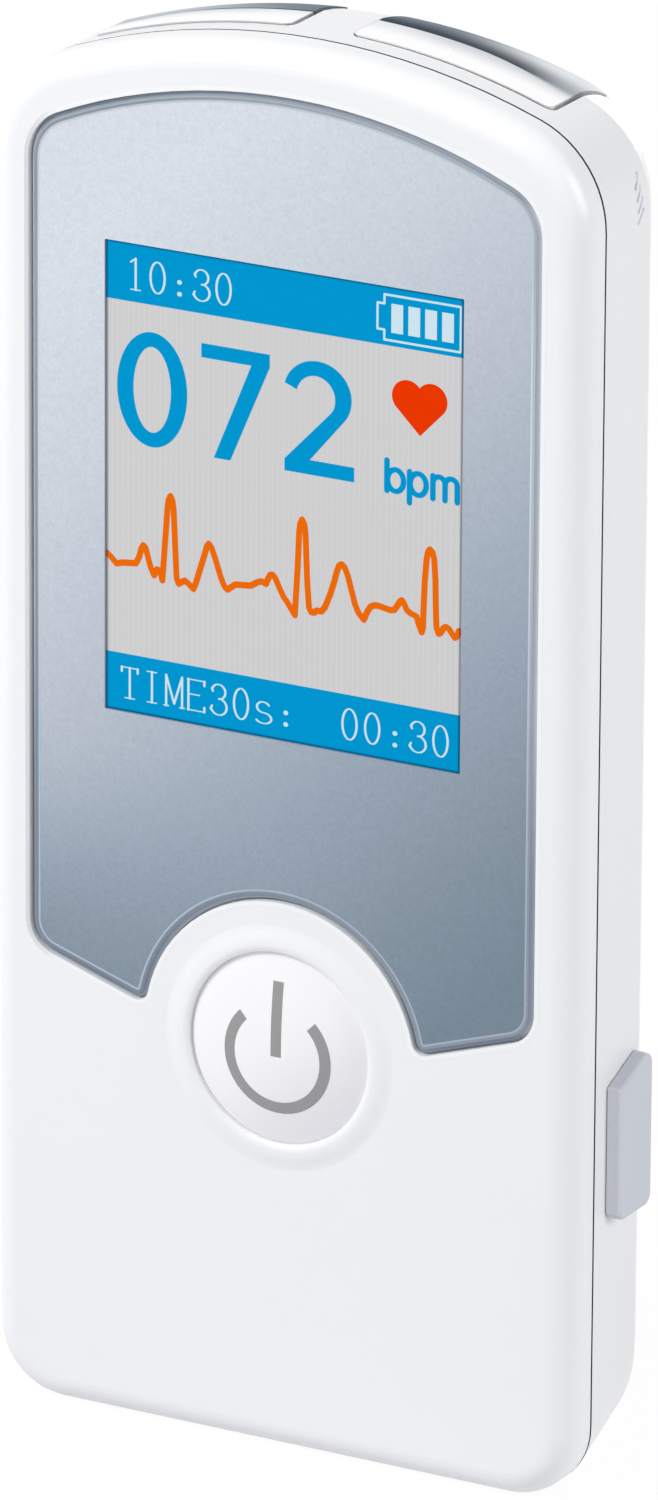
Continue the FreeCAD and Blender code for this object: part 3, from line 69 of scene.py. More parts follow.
DRAWN_LINES = 900.0  # scale of the noise that draws fine lines on metal
GLOW = 0.55  # the share of a lit colour that is its own light
EDGE_STRENGTH = 0.6  # of the shadow along the picture's edges
# Painted shade in the case's seams and in the gap round the top electrodes, and its strength there
GAP_SHADE_GREY = paint(50, 65, 78)
GAP_SHADE_STRENGTH = 0.6  # of the gap round the top electrodes
# Painted shade on the panel's sloped edge low down
LOW_EDGE_SHADE = paint(96, 116, 138)
PANEL_TONES = (
    (0.0, paint(112, 130, 145)),
    (0.13, paint(127, 143, 158)),
    (0.28, paint(147, 161, 177)),
    (0.43, paint(168, 179, 193)),
    (0.58, paint(186, 194, 206)),
    (0.75, paint(201, 209, 219)),
    (0.93, paint(213, 219, 228)),
)


class Flow:
    """A socket's value, for arithmetic."""

    def __init__(self, finish, socket):
        self.finish = finish
        self.socket = socket

    def maths(self, operation, first, second=0.0):
        return self.finish.node("Math", {"operation": operation}, {0: first, 1: second})

    def __add__(self, other):
        return self.maths("ADD", self, other)

    __radd__ = __add__

    def __mul__(self, other):
        return self.maths("MULTIPLY", self, other)

    __rmul__ = __mul__

    def __sub__(self, other):
        return self.maths("SUBTRACT", self, other)

    def __rsub__(self, other):
        return self.maths("SUBTRACT", other, self)

    def __truediv__(self, other):
        return self.maths("DIVIDE", self, other)

    def __pow__(self, other):
        return self.maths("POWER", self, other)

    def __abs__(self):
        return self.maths("ABSOLUTE", self)

    def above(self, limit):
        return self.maths("GREATER_THAN", self, limit)

    def at_least(self, other):
        return self.maths("MAXIMUM", self, other)

    def at_most(self, other):
        return self.maths("MINIMUM", self, other)

    def folded(self, half):
        """Runs up and down again between 0 and a half pitch."""
        return self.maths("PINGPONG", self, half)

    def between(self, low, high):
        """0 below low, 1 above high and smooth between them."""
        limits = {0: self, 1: low, 2: high, 3: 0.0, 4: 1.0}
        return self.finish.node("MapRange", {"interpolation_type": "SMOOTHSTEP"}, limits)


class Finish:
    """The nodes of a procedural material, or of the world where that is given."""

    def __init__(self, name, world=None):
        self.material = world or bpy.data.materials.new(name)
        self.material.use_nodes = True
        self.tree = self.material.node_tree
        self.tree.nodes.clear()

    def node(self, kind, settings=None, inputs=None, output=0):
        made = self.tree.nodes.new(f"ShaderNode{kind}")
        for name, setting in (settings or {}).items():
            if name == "stops":
                self.set_stops(made.color_ramp, setting)
            else:
                setattr(made, name, setting)
        for key, given in (inputs or {}).items():
            if isinstance(given, Flow):
                self.tree.links.new(given.socket, made.inputs[key])
            else:
                made.inputs[key].default_value = given
        return Flow(self, made.outputs[output]) if made.outputs else None

    @staticmethod
    def set_stops(ramp, stops):
        while len(ramp.elements) < len(stops):
            ramp.elements.new(1.0)
        for element, (position, colour) in zip(ramp.elements, stops):
            element.position = position
            element.color = colour

    def place(self):
        return self.node("TexCoord", output="Object")

    def axis(self, letter):
        """The distance along one of the object's axes, in millimetres."""
        return self.node("SeparateXYZ", inputs={0: self.place()}, output="XYZ".index(letter)) / MM

    def grain(self, size_mm, detail=2.0):
        """Noise from 0 to 1 with specks of a size."""
        inputs = {"Vector": self.place(), "Scale": 1 / (size_mm * MM), "Detail": detail}
        return self.node("TexNoise", inputs=inputs)

    def blend(self, amount, first, second):
        inputs = {"Factor": amount, 6: first, 7: second}
        return self.node("Mix", {"data_type": "RGBA"}, inputs, output=2)

    def shade(self, colour, strength):
        """A colour made lighter or darker by a value about 1."""
        grey = self.node("CombineColor", inputs={0: strength, 1: strength, 2: strength})
        settings = {"data_type": "RGBA", "blend_type": "MULTIPLY"}
        return self.node("Mix", settings, {0: 1.0, 6: colour, 7: grey}, output=2)

    def bump(self, height, strength, reach_mm):
        inputs = {"Height": height, "Strength": strength, "Distance": reach_mm * MM}
        return self.node("Bump", inputs=inputs)

    def surface(self, **inputs):
        """Closes the finish with a coated surface; words are joined by underscores."""
        named = {name.replace("_", " "): given for name, given in inputs.items()}
        shader = self.node("BsdfPrincipled", inputs=named)
        self.node("OutputMaterial", inputs={"Surface": shader})
        return self.material


def moulded(name, colour, roughness=0.35, grain_mm=0.25, relief=0.02, variation=0.03):
    """Moulded plastic or rubber with a fine grain."""
    finish = Finish(name)
    grain = finish.grain(grain_mm)
    strength = 1 - variation / 2 + variation * finish.grain(CLOUD)
    return finish.surface(
        Base_Color=finish.shade(colour, strength),
        Roughness=roughness - 0.04 + 0.08 * grain,
        Normal=finish.bump(grain, relief, 0.05),
    )


def metal(name, colour, roughness=0.28, stretch=(1.0, 1.0, 14.0)):
    """Drawn metal with fine lines along one axis."""
    finish = Finish(name)
    drawn = finish.node("Mapping", inputs={"Vector": finish.place(), "Scale": stretch})
    inputs = {"Vector": drawn, "Scale": DRAWN_LINES, "Detail": 3.0}
    lines = finish.node("TexNoise", inputs=inputs)
    return finish.surface(
        Base_Color=finish.shade(colour, 0.92 + 0.16 * lines),
        Metallic=1.0,
        Roughness=roughness - 0.05 + 0.1 * lines,
        Normal=finish.bump(lines, 0.04, 0.02),
    )


def case_white(name, colour, gap_shade):
    """Satin white casing; gap_shade gives, from the finish, where painted shade darkens it in its
    seams and gaps.
    """
    finish = Finish(name)
    grain = finish.grain(0.18)
    white = finish.shade(colour, 0.995 + 0.01 * finish.grain(9.0))
    return finish.surface(
        Base_Color=finish.blend(gap_shade(finish), white, GAP_SHADE_GREY),
        Roughness=0.3 + 0.06 * grain,
        Coat_Weight=0.15,
        Coat_Roughness=0.2,
        Normal=finish.bump(grain, 0.012, 0.03),
    )


def front_seam_shade(finish):
    """Painted shade along the rear edge of the front shell, at the seam."""
    return finish.axis("Y").above(FRONT_EDGE - EDGE_MARGIN)


def rear_seam_shade(finish):
    """Painted shade on the front edge and the tongue of the rear shell, and in the gap round the
    top electrodes.
    """
    # Painted shade along the seam, and as a line round the top electrodes
    seam = 1 - finish.axis("Y").above(REAR_EDGE + EDGE_MARGIN)
    beside = electrode_distance(finish)
    line = beside.between(-0.02, 0.03) * (1 - beside.between(0.07, 0.12))
    on_top = finish.axis("Z").above(90.0) * finish.axis("X").between(-17.0, -12.0)
    return seam.at_least(GAP_SHADE_STRENGTH * line * on_top)


def electrode_distance(finish):
    """The distance outside the top electrodes' outline as it is seen from above, in mm."""
    straight_x = ELECTRODE_HALF_X - ELECTRODE_CORNER
    straight_y = ELECTRODE_HALF_Y - ELECTRODE_CORNER
    across = abs(abs(finish.axis("X")) - ELECTRODE_X) - straight_x
    along = abs(finish.axis("Y") - ELECTRODE_Y) - straight_y
    corner = (across.at_least(0.0) ** 2.0 + along.at_least(0.0) ** 2.0) ** 0.5
    return corner + across.at_least(along).at_most(0.0) - ELECTRODE_CORNER


def panel_silver(name):
    """Speckled silver-blue lacquer, pale at the top left and deeper towards the lower right; its
    sloped edge has painted light and shade.
    """
    finish = Finish(name)
    x, y, z = (finish.axis(letter) for letter in "XYZ")
    right, left = x.at_least(0.0), x.at_most(0.0)
    fade_low, fade_length = 22.0, 84.0
    along = (z - 0.88 * right - 0.95 * z.between(34.0, 52.0) * left - fade_low) / fade_length
    tone = finish.node("ValToRGB", {"stops": PANEL_TONES}, {0: along})
    flakes = finish.grain(FLAKE, 1.0)
    mottle = finish.grain(MOTTLE, 3.0)
    face = finish.shade(tone, 0.81 + 0.2 * flakes + 0.18 * mottle)
    # The sloped edge's colours are painted light and shade: lighter at the far left and right
    # sides, and darker and bluer low down beside the collar.
    sloped = y.between(-8.897, -8.885)
    inner = finish.blend(x.between(18.0, 19.2), paint(144, 155, 167), paint(190, 199, 209))
    outer = finish.blend(abs(x).between(18.7, 19.3), paint(172, 183, 194), paint(224, 228, 233))
    edge = finish.blend(y.between(-8.84, -8.6), inner, outer)
    low_down = 1 - z.between(44.0, 60.0)
    edge = finish.blend(low_down * (0.056 + 0.42 * abs(x).between(8.0, 14.0)), edge, LOW_EDGE_SHADE)
    return finish.surface(
        Base_Color=finish.blend(sloped, face, edge),
        Metallic=0.2 - 0.2 * sloped,
        Roughness=0.36 + 0.3 * sloped + 0.1 * flakes,
        Coat_Weight=0.2 - 0.2 * sloped,
        Coat_Roughness=0.15,
        Normal=finish.bump(flakes, 0.05, 0.02),
    )


def rim_light_and_shade(name, lower, upper):
    """The panel's lacquered rim, or the line inside it, in painted tones of light and shade, with
    a left and a right colour low down and a pair high up.
    """
    finish = Finish(name)
    flakes = finish.grain(FLAKE, 1.0)
    towards_right = finish.axis("X").between(-17.0, 17.0)
    z = finish.axis("Z")
    low = finish.blend(towards_right, *lower)
    high = finish.blend(towards_right, *upper)
    colour = finish.blend(z.between(42.0, 76.0), low, high)
    # Painted shade: darker at the very top.
    top = 1 - 0.14 * z.between(84.0, 90.0)
    return finish.surface(
        Base_Color=finish.shade(colour, top * (0.93 + 0.14 * flakes)),
        Roughness=0.4 + 0.1 * flakes,
    )


def cover_rubber(name):
    """Matt grey rubber, paler on the wall that faces forward."""
    finish = Finish(name)
    grain = finish.grain(0.15)
    side = finish.shade(paint(205, 209, 218), 0.985 + 0.03 * finish.grain(CLOUD))
    beyond_wall = finish.axis("Y").between(-4.15, -3.85)
    return finish.surface(
        Base_Color=finish.blend(beyond_wall, paint(226, 229, 237), side),
        Roughness=0.46 + 0.08 * grain,
        Normal=finish.bump(grain, 0.03, 0.05),
    )


def keycap_white(name):
    """Satin white keycap, with painted shade deepening towards its lower right."""
    finish = Finish(name)
    grain = finish.grain(0.2)
    # Painted shade: darker towards the lower right, as on the dome's side away from the light.
    shade_fall = 0.6 * finish.axis("X") - 0.8 * (finish.axis("Z") - BUTTON_HEIGHT)
    tone = finish.blend(shade_fall.between(-2.0, 8.0), paint(249, 249, 250), paint(231, 231, 236))
    return finish.surface(
        Base_Color=tone,
        Roughness=0.27 + 0.02 * grain,
        Coat_Weight=0.3,
        Normal=finish.bump(grain, 0.005, 0.02),
    )


def lip_white(name):
    """The case's white round the panel, in soft shade on the left."""
    finish = Finish(name)
    lit_side = finish.axis("X").between(-20.3, -17.0)
    tone = finish.blend(lit_side, paint(216, 218, 221), paint(247, 248, 250))
    return finish.surface(Base_Color=tone, Roughness=0.36 + 0.06 * finish.grain(0.2))


def electrode_metal(name):
    """Bright plated steel with painted reflections: greying before the turn towards the rear, dark
    just behind it and paler again further back, with painted shade on a crease and along its
    outline.
    """
    finish = Finish(name)
    y = finish.axis("Y")
    x = abs(finish.axis("X"))
    left = 1 - finish.axis("X").above(0.0)
    turn = -0.6 * x.between(10.0, 17.5) - 0.45 * left
    soft = 0.06 + 0.5 * x.between(12.5, 17.5)
    # Painted reflection: behind the turn the steel is a dark diffuse colour, paler again further
    # back.
    dark_reflection_band = y.between(turn - soft, turn + soft)
    # Painted reflection: the bright steel greys towards the turn.
    beside_turn = finish.blend(x.between(3.0, 9.0), paint(228, 230, 233), paint(205, 209, 214))
    front = finish.blend(y.between(-2.6, 0.1), paint(254, 254, 255), beside_turn)
    near_right = finish.blend(x.between(13.0, 17.8), paint(58, 68, 80), paint(160, 167, 175))
    near_left = finish.blend(x.between(2.0, 12.0), paint(122, 132, 143), paint(186, 193, 200))
    near = finish.blend(left, near_right, near_left)
    far = finish.blend(x.between(6.0, 15.0), paint(130, 139, 148), paint(230, 233, 236))
    back = finish.blend(y.between(turn - 0.4, turn + 3.6), near, far)
    # Painted shade on the crease of the left electrode's inner part.
    crease = y.between(turn - 0.12, turn - 0.02) * (1 - y.between(turn + 0.12, turn + 0.3))
    crease_shade = left * crease * (1 - x.between(9.5, 13.5))
    back = finish.blend(crease_shade, back, paint(56, 66, 78))
    # Painted shade along the electrode's outline.
    rim = 0.4 * electrode_distance(finish).between(-0.05, -0.01)
    lines = finish.grain(0.3)
    return finish.surface(
        Base_Color=finish.blend(rim, finish.blend(dark_reflection_band, front, back), paint(58, 63, 70)),
        Metallic=0.85 - 0.75 * dark_reflection_band,
        Roughness=0.18 + 0.3 * dark_reflection_band + 0.08 * lines,
        Specular_IOR_Level=0.0,
        Normal=finish.bump(lines, 0.02, 0.02),
    )


def lit(finish, colour):
    """Closes a finish as part of the lit display, where a share of its colour is its own light."""
    return finish.surface(
        Base_Color=finish.shade(colour, 1 - GLOW),
        Emission_Color=colour,
        Emission_Strength=GLOW,
        Roughness=0.4,
        Specular_IOR_Level=0.0,
    )


def edge_shade(finish):
    """1 in the thin shadow along the edges of the screen, and 0 elsewhere."""
    middle = BUTTON_HEIGHT + (SCREEN_LOW + SCREEN_HIGH) / 2
    half_height = (SCREEN_HIGH - SCREEN_LOW) / 2
    x = abs(finish.axis("X") + SHADE_LEFT)
    z = abs(finish.axis("Z") - middle)
    beside = x.between(SCREEN_HALF - 0.26, SCREEN_HALF - 0.12)
    ends = z.between(half_height - 0.2, half_height - 0.08)
    return beside.at_least(ends)


def picture_grey(name):
    """The display's pale ground with its fine columns and rows."""
    finish = Finish(name)
    columns = 1 - finish.axis("X").folded(PIXEL_PITCH / 2).between(0.0, 0.07)
    rows = 1 - finish.axis("Z").folded(PIXEL_PITCH / 2).between(0.0, 0.06)
    patch = finish.grain(5.0)
    line = columns * (0.3 + 0.7 * patch) + rows * 0.4 * patch
    ground = finish.blend(0.5 * line, paint(207, 207, 208), paint(224, 224, 225))
    return lit(finish, finish.blend(EDGE_STRENGTH * edge_shade(finish), ground, paint(40, 44, 50)))


def display_ink(name, colour):
    """A lit colour with a faint unevenness."""
    finish = Finish(name)
    even = finish.shade(colour, 0.98 + 0.04 * finish.grain(1.5))
    return lit(finish, finish.blend(EDGE_STRENGTH * edge_shade(finish), even, paint(0, 34, 62)))


def print_ink(name, colour):
    """Printed satin ink."""
    finish = Finish(name)
    return finish.surface(
        Base_Color=finish.shade(colour, 0.97 + 0.06 * finish.grain(0.8)),
        Roughness=0.42 + 0.08 * finish.grain(0.2),
    )


SCREEN_BLUE = display_ink("screen_blue", paint(2, 150, 208))
SCREEN_WHITE = display_ink("screen_white", paint(206, 228, 238))
SCREEN_ORANGE = display_ink("screen_orange", paint(236, 107, 8))
SCREEN_RED = display_ink("screen_red", paint(234, 56, 2))
SYMBOL_GREY = print_ink("symbol_grey", paint(151, 151, 152))

FINISHES = {
    "front_shell": case_white("front_white", paint(243, 244, 246), front_seam_shade),
    "rear_shell": case_white("rear_white", paint(240, 241, 243), rear_seam_shade),
    "face_panel": panel_silver("panel_silver"),
    "panel_adhesive": moulded("adhesive_film", paint(226, 224, 214), 0.5),
    "display_window": moulded("window_clear", paint(225, 228, 230), 0.12, relief=0.0),
    "window_gasket": moulded("foam_black", paint(36, 36, 38), 0.85, 0.4, 0.4),
    "lcd_glass": moulded("display_glass", paint(120, 126, 130), 0.15),
    "backlight": moulded("tray_white", paint(228, 228, 226), 0.5),
    "lcd_ribbon": moulded("ribbon_amber", paint(196, 128, 52), 0.4),
    "ribbon_socket": moulded("connector_black", paint(44, 44, 46), 0.55),
    "power_button": keycap_white("keycap_white"),
    "switch_body": metal("switch_steel", paint(196, 196, 198)),
    "switch_plunger": moulded("plunger_black", paint(40, 40, 42), 0.5),
    "main_board": moulded("board_green", paint(26, 92, 58), 0.4, 0.6, 0.05, 0.15),
    "processor": moulded("chip_black", paint(38, 38, 40), 0.6),
    "amplifier": moulded("chip_dark", paint(42, 42, 44), 0.6),
    "memory_chip": moulded("chip_grey", paint(48, 48, 50), 0.6),
    "radio_module": metal("shield_steel", paint(200, 201, 203)),
    "buzzer": moulded("buzzer_black", paint(34, 34, 36), 0.5),
    "usb_shell": metal("socket_steel", paint(204, 205, 208)),
    "usb_insulator": moulded("insulator_black", paint(38, 38, 40), 0.5),
    "usb_cover": cover_rubber("cover_rubber"),
    "usb_cover_anchor": moulded("anchor_rubber", paint(190, 195, 206), 0.5, 0.15, 0.03),
    "electrode_left": electrode_metal("electrode_left_metal"),
    "electrode_right": electrode_metal("electrode_right_metal"),
    "electrode_base": metal("electrode_base_metal", paint(222, 224, 228), 0.2, (14.0, 1.0, 1.0)),
    "electrode_contacts": metal("contact_brass", paint(214, 178, 104)),
    "battery_cell": metal("cell_foil", paint(208, 210, 213), 0.4),
    "battery_pad": moulded("pad_black", paint(40, 40, 42), 0.85, 0.4, 0.4),
    "battery_leads": moulded("lead_red", paint(176, 34, 30), 0.45),
    "battery_connector": moulded("connector_white", paint(232, 230, 222), 0.45),
    "housing_screws": metal("screw_steel", paint(168, 168, 172)),
}
for node_name, node_finish in FINISHES.items():
    for material_slot in NODES[node_name].material_slots:
        material_slot.material = node_finish


# ------------------------------------------------------------------ pieces

WELD = 1e-7  # corners closer than this, in metres, are one
CLOSEST = 1e-6  # points of an outline closer than this, in mm, are one

# Thicknesses of the thin pieces, in mm
SKIN = 0.02
BAND_SKIN = 0.008
PRINT_SKIN, PRINT_LIFT = 0.005, 0.007

# Depths behind the front face, in mm
PANEL_DEPTH = 0.1
GROUND_DEPTH = 0.3
BAR_DEPTH = GROUND_DEPTH - SKIN
MARK_DEPTH = BAR_DEPTH - SKIN

# On the screen, above the button's middle, in mm
TOP_BAR, BOTTOM_BAR = 52.2, 26.68
PICTURE_RIGHT, PICTURE_UP = 0.27, 0.18  # how far the signs and figures are moved

# A box round the panel's opening, in mm
OPENING_HALF, OPENING_LOW, OPENING_HIGH = 14.2, 52.3, 86.6

# The keycap's dome, in mm
KEY_RADIUS, KEY_CROWN, KEY_FRONT = 6.97, 0.75, -0.55
KEY_ROUND = (KEY_RADIUS ** 2 + KEY_CROWN ** 2) / (2 * KEY_CROWN)


def finished(name, mesh, material, body):
    """Adds a piece at the origin that rides on a body."""
    piece = bpy.data.objects.new(name, mesh)
    bpy.context.scene.collection.objects.link(piece)
    mesh.materials.clear()
    mesh.materials.append(material)
    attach(piece, body)


def mesh_of(name, shape):
    """Closes a bmesh with its faces pointing outwards."""
    bmesh.ops.remove_doubles(shape, verts=shape.verts, dist=WELD)
    bmesh.ops.recalc_face_normals(shape, faces=shape.faces)
    mesh = bpy.data.meshes.new(name)
    shape.to_mesh(mesh)
    shape.free()
    return mesh


def plates(name, spans, front_mm, material):
    """Thin upright plates on the screen, each from its left, right, low and high side in mm."""
    shape = bmesh.new()
    middle_y = depth(front_mm + SKIN / 2)
    for left, right, low, high in spans:
        made = bmesh.ops.create_cube(shape, size=1.0)["verts"]
        size = Vector((right - left, SKIN, high - low)) * MM
        middle_x, middle_z = (left + right) / 2 * MM, BUTTON_Z + (low + high) / 2 * MM
        bmesh.ops.scale(shape, vec=size, verts=made)
        bmesh.ops.translate(shape, vec=(middle_x, middle_y, middle_z), verts=made)
    finished(name, mesh_of(name, shape), material, "case")


def screen_ground():
    """The display's pale ground and the blue bars at its two ends."""
    sides = (-SCREEN_HALF, SCREEN_HALF)
    ground = [(*sides, SCREEN_LOW, SCREEN_HIGH)]
    bars = [(*sides, TOP_BAR, SCREEN_HIGH), (*sides, SCREEN_LOW, BOTTOM_BAR)]
    plates("screen_ground", ground, GROUND_DEPTH, picture_grey("picture_grey"))
    plates("screen_bars", bars, BAR_DEPTH, SCREEN_BLUE)


def flat_outline(name, loops, front_mm, material):
    """A thin flat piece from outlines; a loop inside another is a hole."""
    curve = bpy.data.curves.new(name, "CURVE")
    curve.dimensions = "2D"
    curve.fill_mode = "BOTH"
    curve.extrude = SKIN * MM / 2
    for loop in loops:
        spline = curve.splines.new("POLY")
        spline.points.add(len(loop) - 1)
        for point, (x, z) in zip(spline.points, loop):
            point.co = (x * MM, z * MM, 0.0, 1.0)
        spline.use_cyclic_u = True
    holder = bpy.data.objects.new(f"{name}_curve", curve)
    mesh = bpy.data.meshes.new_from_object(holder)
    mesh.name = name
    bpy.data.objects.remove(holder)
    middle = (PICTURE_RIGHT * MM, depth(front_mm + SKIN / 2), BUTTON_Z + PICTURE_UP * MM)
    mesh.transform(Matrix.Translation(middle) @ Matrix.Rotation(math.pi / 2, 4, "X"))
    finished(name, mesh, material, "case")


def ellipse(x, z, half_width, half_height, start=0.0, end=360.0, steps=40):
    """Points round an ellipse, in degrees from its right side."""
    angles = [math.radians(start + (end - start) * step / steps) for step in range(steps + 1)]
    return [
        (x + half_width * math.cos(angle), z + half_height * math.sin(angle)) for angle in angles
    ]


def pen(line, thin, thick):
    """The outlines of a pen stroke with round ends and turns, thicker where it runs upright."""
    outlines = []
    for start, end in zip(line, line[1:]):
        first, last = Vector(start), Vector(end)
        run = last - first
        if run.length < CLOSEST:
            continue
        half = (thin + (thick - thin) * abs(run.y) / run.length) / 2
        side = run.orthogonal().normalized() * half
        outlines.append([first - side, last - side, last + side, first + side])
        for point in (start, end):
            outlines.append(ellipse(*point, half, half, steps=12)[:-1])
    return outlines


def flat_union(name, outlines, front_mm, material):
    """A thin upright piece that joins overlapping flat outlines."""
    points = [Vector(point) for outline in outlines for point in outline]
    loops = []
    first = 0
    for outline in outlines:
        loops.append(list(range(first, first + len(outline))))
        first += len(outline)
    corners, _, faces, _, _, covered_by = delaunay_2d_cdt(points, [], loops, 1, CLOSEST)
    shape = bmesh.new()
    made = []
    for x, z in corners:
        place = ((x + PICTURE_RIGHT) * MM, depth(front_mm), BUTTON_Z + (z + PICTURE_UP) * MM)
        made.append(shape.verts.new(place))
    for face, covers in zip(faces, covered_by):
        if covers:
            shape.faces.new([made[index] for index in face])
    spare = [vertex for vertex in made if not vertex.link_faces]
    bmesh.ops.delete(shape, geom=spare, context="VERTS")
    bmesh.ops.recalc_face_normals(shape, faces=shape.faces)
    bmesh.ops.solidify(shape, geom=shape.faces[:], thickness=SKIN * MM)
    finished(name, mesh_of(name, shape), material, "case")


def strokes(name, lines, material, thin, thick, front_mm=MARK_DEPTH):
    """A thin piece of pen strokes on the screen, thin and thick in mm."""
    outlines = [outline for line in lines for outline in pen(line, thin, thick)]
    flat_union(name, outlines, front_mm, material)


def glyph(letter, left, low, width, height):
    """The pen strokes of one small serif figure or letter, and of an E for any other."""
    right, high = left + width, low + height
    middle, half = left + width / 2, width / 2
    foot = 0.3 * width
    if letter == "0":
        return [ellipse(middle, low + height / 2, 0.88 * half, height / 2)]
    if letter == "1":
        return [
            [(middle, low), (middle, high)],
            [(middle - foot, low), (middle + foot, low)],
            [(middle, high), (middle - foot, high - 0.12 * height)],
        ]
    if letter == "3":
        upper, lower = 0.24 * height, 0.27 * height
        top, bottom = high - upper, low + lower
        return [
            ellipse(middle, top, 0.84 * half, upper, 160, -90, 24),
            ellipse(middle, bottom, half, lower, 90, -160, 24),
            [(left + 0.08 * width, top + 0.08 * height), (left + 0.14 * width, top)],
            [(left, bottom - 0.1 * height), (left + 0.08 * width, bottom)],
        ]
    if letter == ":":
        return [ellipse(middle, low + share * height, 0.1, 0.1, steps=10) for share in (0.1, 0.48)]
    if letter == "s":
        quarter = height / 4
        return [
            ellipse(middle, high - quarter, 0.8 * half, quarter, 30, 270, 18)
            + ellipse(middle, low + quarter, half, quarter, 90, -150, 18),
        ]
    if letter == "T":
        return [
            [(middle, low), (middle, high)],
            [(left, high), (right, high)],
            [(left, high), (left, high - 0.14 * height)],
            [(right, high), (right, high - 0.14 * height)],
            [(middle - foot, low), (middle + foot, low)],
        ]
    if letter == "I":
        return [
            [(middle, low), (middle, high)],
            [(middle - foot, high), (middle + foot, high)],
            [(middle - foot, low), (middle + foot, low)],
        ]
    if letter == "M":
        return [
            [(left, low), (left, high), (middle, low + 0.1 * height), (right, high), (right, low)],
            [(left - 0.5 * foot, low), (left + 0.5 * foot, low)],
            [(right - 0.5 * foot, low), (right + 0.5 * foot, low)],
        ]
    return [
        [(left, low), (left, high)],
        [(left - 0.1, high), (right, high), (right, high - 0.14 * height)],
        [(left - 0.1, low), (right, low), (right, low + 0.14 * height)],
        [(left, low + 0.52 * height), (right - 0.3 * width, low + 0.52 * height)],
    ]


def small_lettering():
    """The clock and the timer in the blue bars."""
    width, tall, small = 1.26, 2.22, 1.55
    words = (
        ("10:30", -12.5, 52.9, 1.72),
        ("TIME30s:", -12.95, 23.3, 1.76),
        ("00:30", 4.36, 23.28, 1.77),
    )
    lines = []
    for word, left, low, advance in words:
        for place, letter in enumerate(word):
            height = small if letter == "s" else tall
            lines += glyph(letter, left + place * advance, low, width, height)
    strokes("small_lettering", lines, SCREEN_WHITE, 0.08, 0.17)


def battery_sign():
    """The charge sign: a stepped outline round four bars."""
    outline = [
        (7.48, 55.6), (13.35, 55.6), (13.35, 52.4), (7.48, 52.4), (7.48, 53.1), (6.95, 53.1),
        (6.95, 54.95), (7.48, 54.95), (7.48, 55.6),
    ]
    strokes("battery_outline", [outline], SCREEN_WHITE, 0.16, 0.16)
    bars = [(left, left + 0.9, 53.14, 55.2) for left in (8.29, 9.6, 10.89, 12.19)]
    plates("battery_bars", bars, MARK_DEPTH, SCREEN_WHITE)


def big_figures():
    """The pulse in large blue figures."""
    low = 41.85
    nought = [
        ellipse(-10.58, 45.93, 2.75, 4.12, steps=64),
        ellipse(-10.58, 45.93, 1.48, 3.08, steps=64),
    ]
    seven = [[
        (-6.72, 49.9), (-1.39, 49.9), (-1.39, 48.97), (-4.44, low), (-5.72, low), (-2.81, 48.9),
        (-6.72, 48.9),
    ]]
    two = [
        ellipse(2.35, 47.55, 2.63, 2.46, 166, 0, 30)
        + ellipse(2.35, 47.55, 2.63, 2.46, 0, -38, 8)
        + [(1.75, 42.88), (5.21, 42.88), (5.21, low), (-0.2, low), (-0.2, 42.7)]
        + ellipse(2.2, 47.4, 1.52, 1.52, -38, 0, 8)
        + ellipse(2.2, 47.4, 1.52, 1.55, 0, 166, 30)
    ]
    for name, loops in (("figure_nought", nought), ("figure_seven", seven), ("figure_two", two)):
        flat_outline(name, loops, BAR_DEPTH, SCREEN_BLUE)


def heart_sign():
    """Two round lobes that run down to a point."""
    left_lobe, right_lobe, radius = (9.3, 48.58), (11.16, 48.6), 1.2
    tip, notch = (10.28, 45.97), (10.23, 49.34)
    flat_outline("heart_sign", [[
        tip,
        *ellipse(*right_lobe, radius, radius, -38, 142, 30),
        notch,
        *ellipse(*left_lobe, radius, radius, 38, 218, 30),
    ]], BAR_DEPTH, SCREEN_RED)


def unit_lettering():
    """The unit beside the pulse, from strokes with round ends."""
    low, x_height, tall, tail = 41.7, 1.6, 2.15, 0.6
    bowl_half, bowl = 0.62, x_height / 2
    arch = 0.47
    lines = [
        [(7.75, low), (7.75, low + tall)],
        ellipse(8.42, low + bowl, bowl_half, bowl - 0.03),
        [(9.5, low - tail), (9.5, low + x_height)],
        ellipse(10.17, low + bowl, bowl_half, bowl - 0.03),
        [(11.3, low), (11.3, low + x_height)],
    ]
    for middle in (11.77, 12.71):
        turned = ellipse(middle, low + x_height - arch, arch, arch, 180, 0, 12)
        lines.append(turned + [(middle + arch, low)])
    strokes("unit_lettering", lines, SCREEN_BLUE, 0.36, 0.42, BAR_DEPTH)


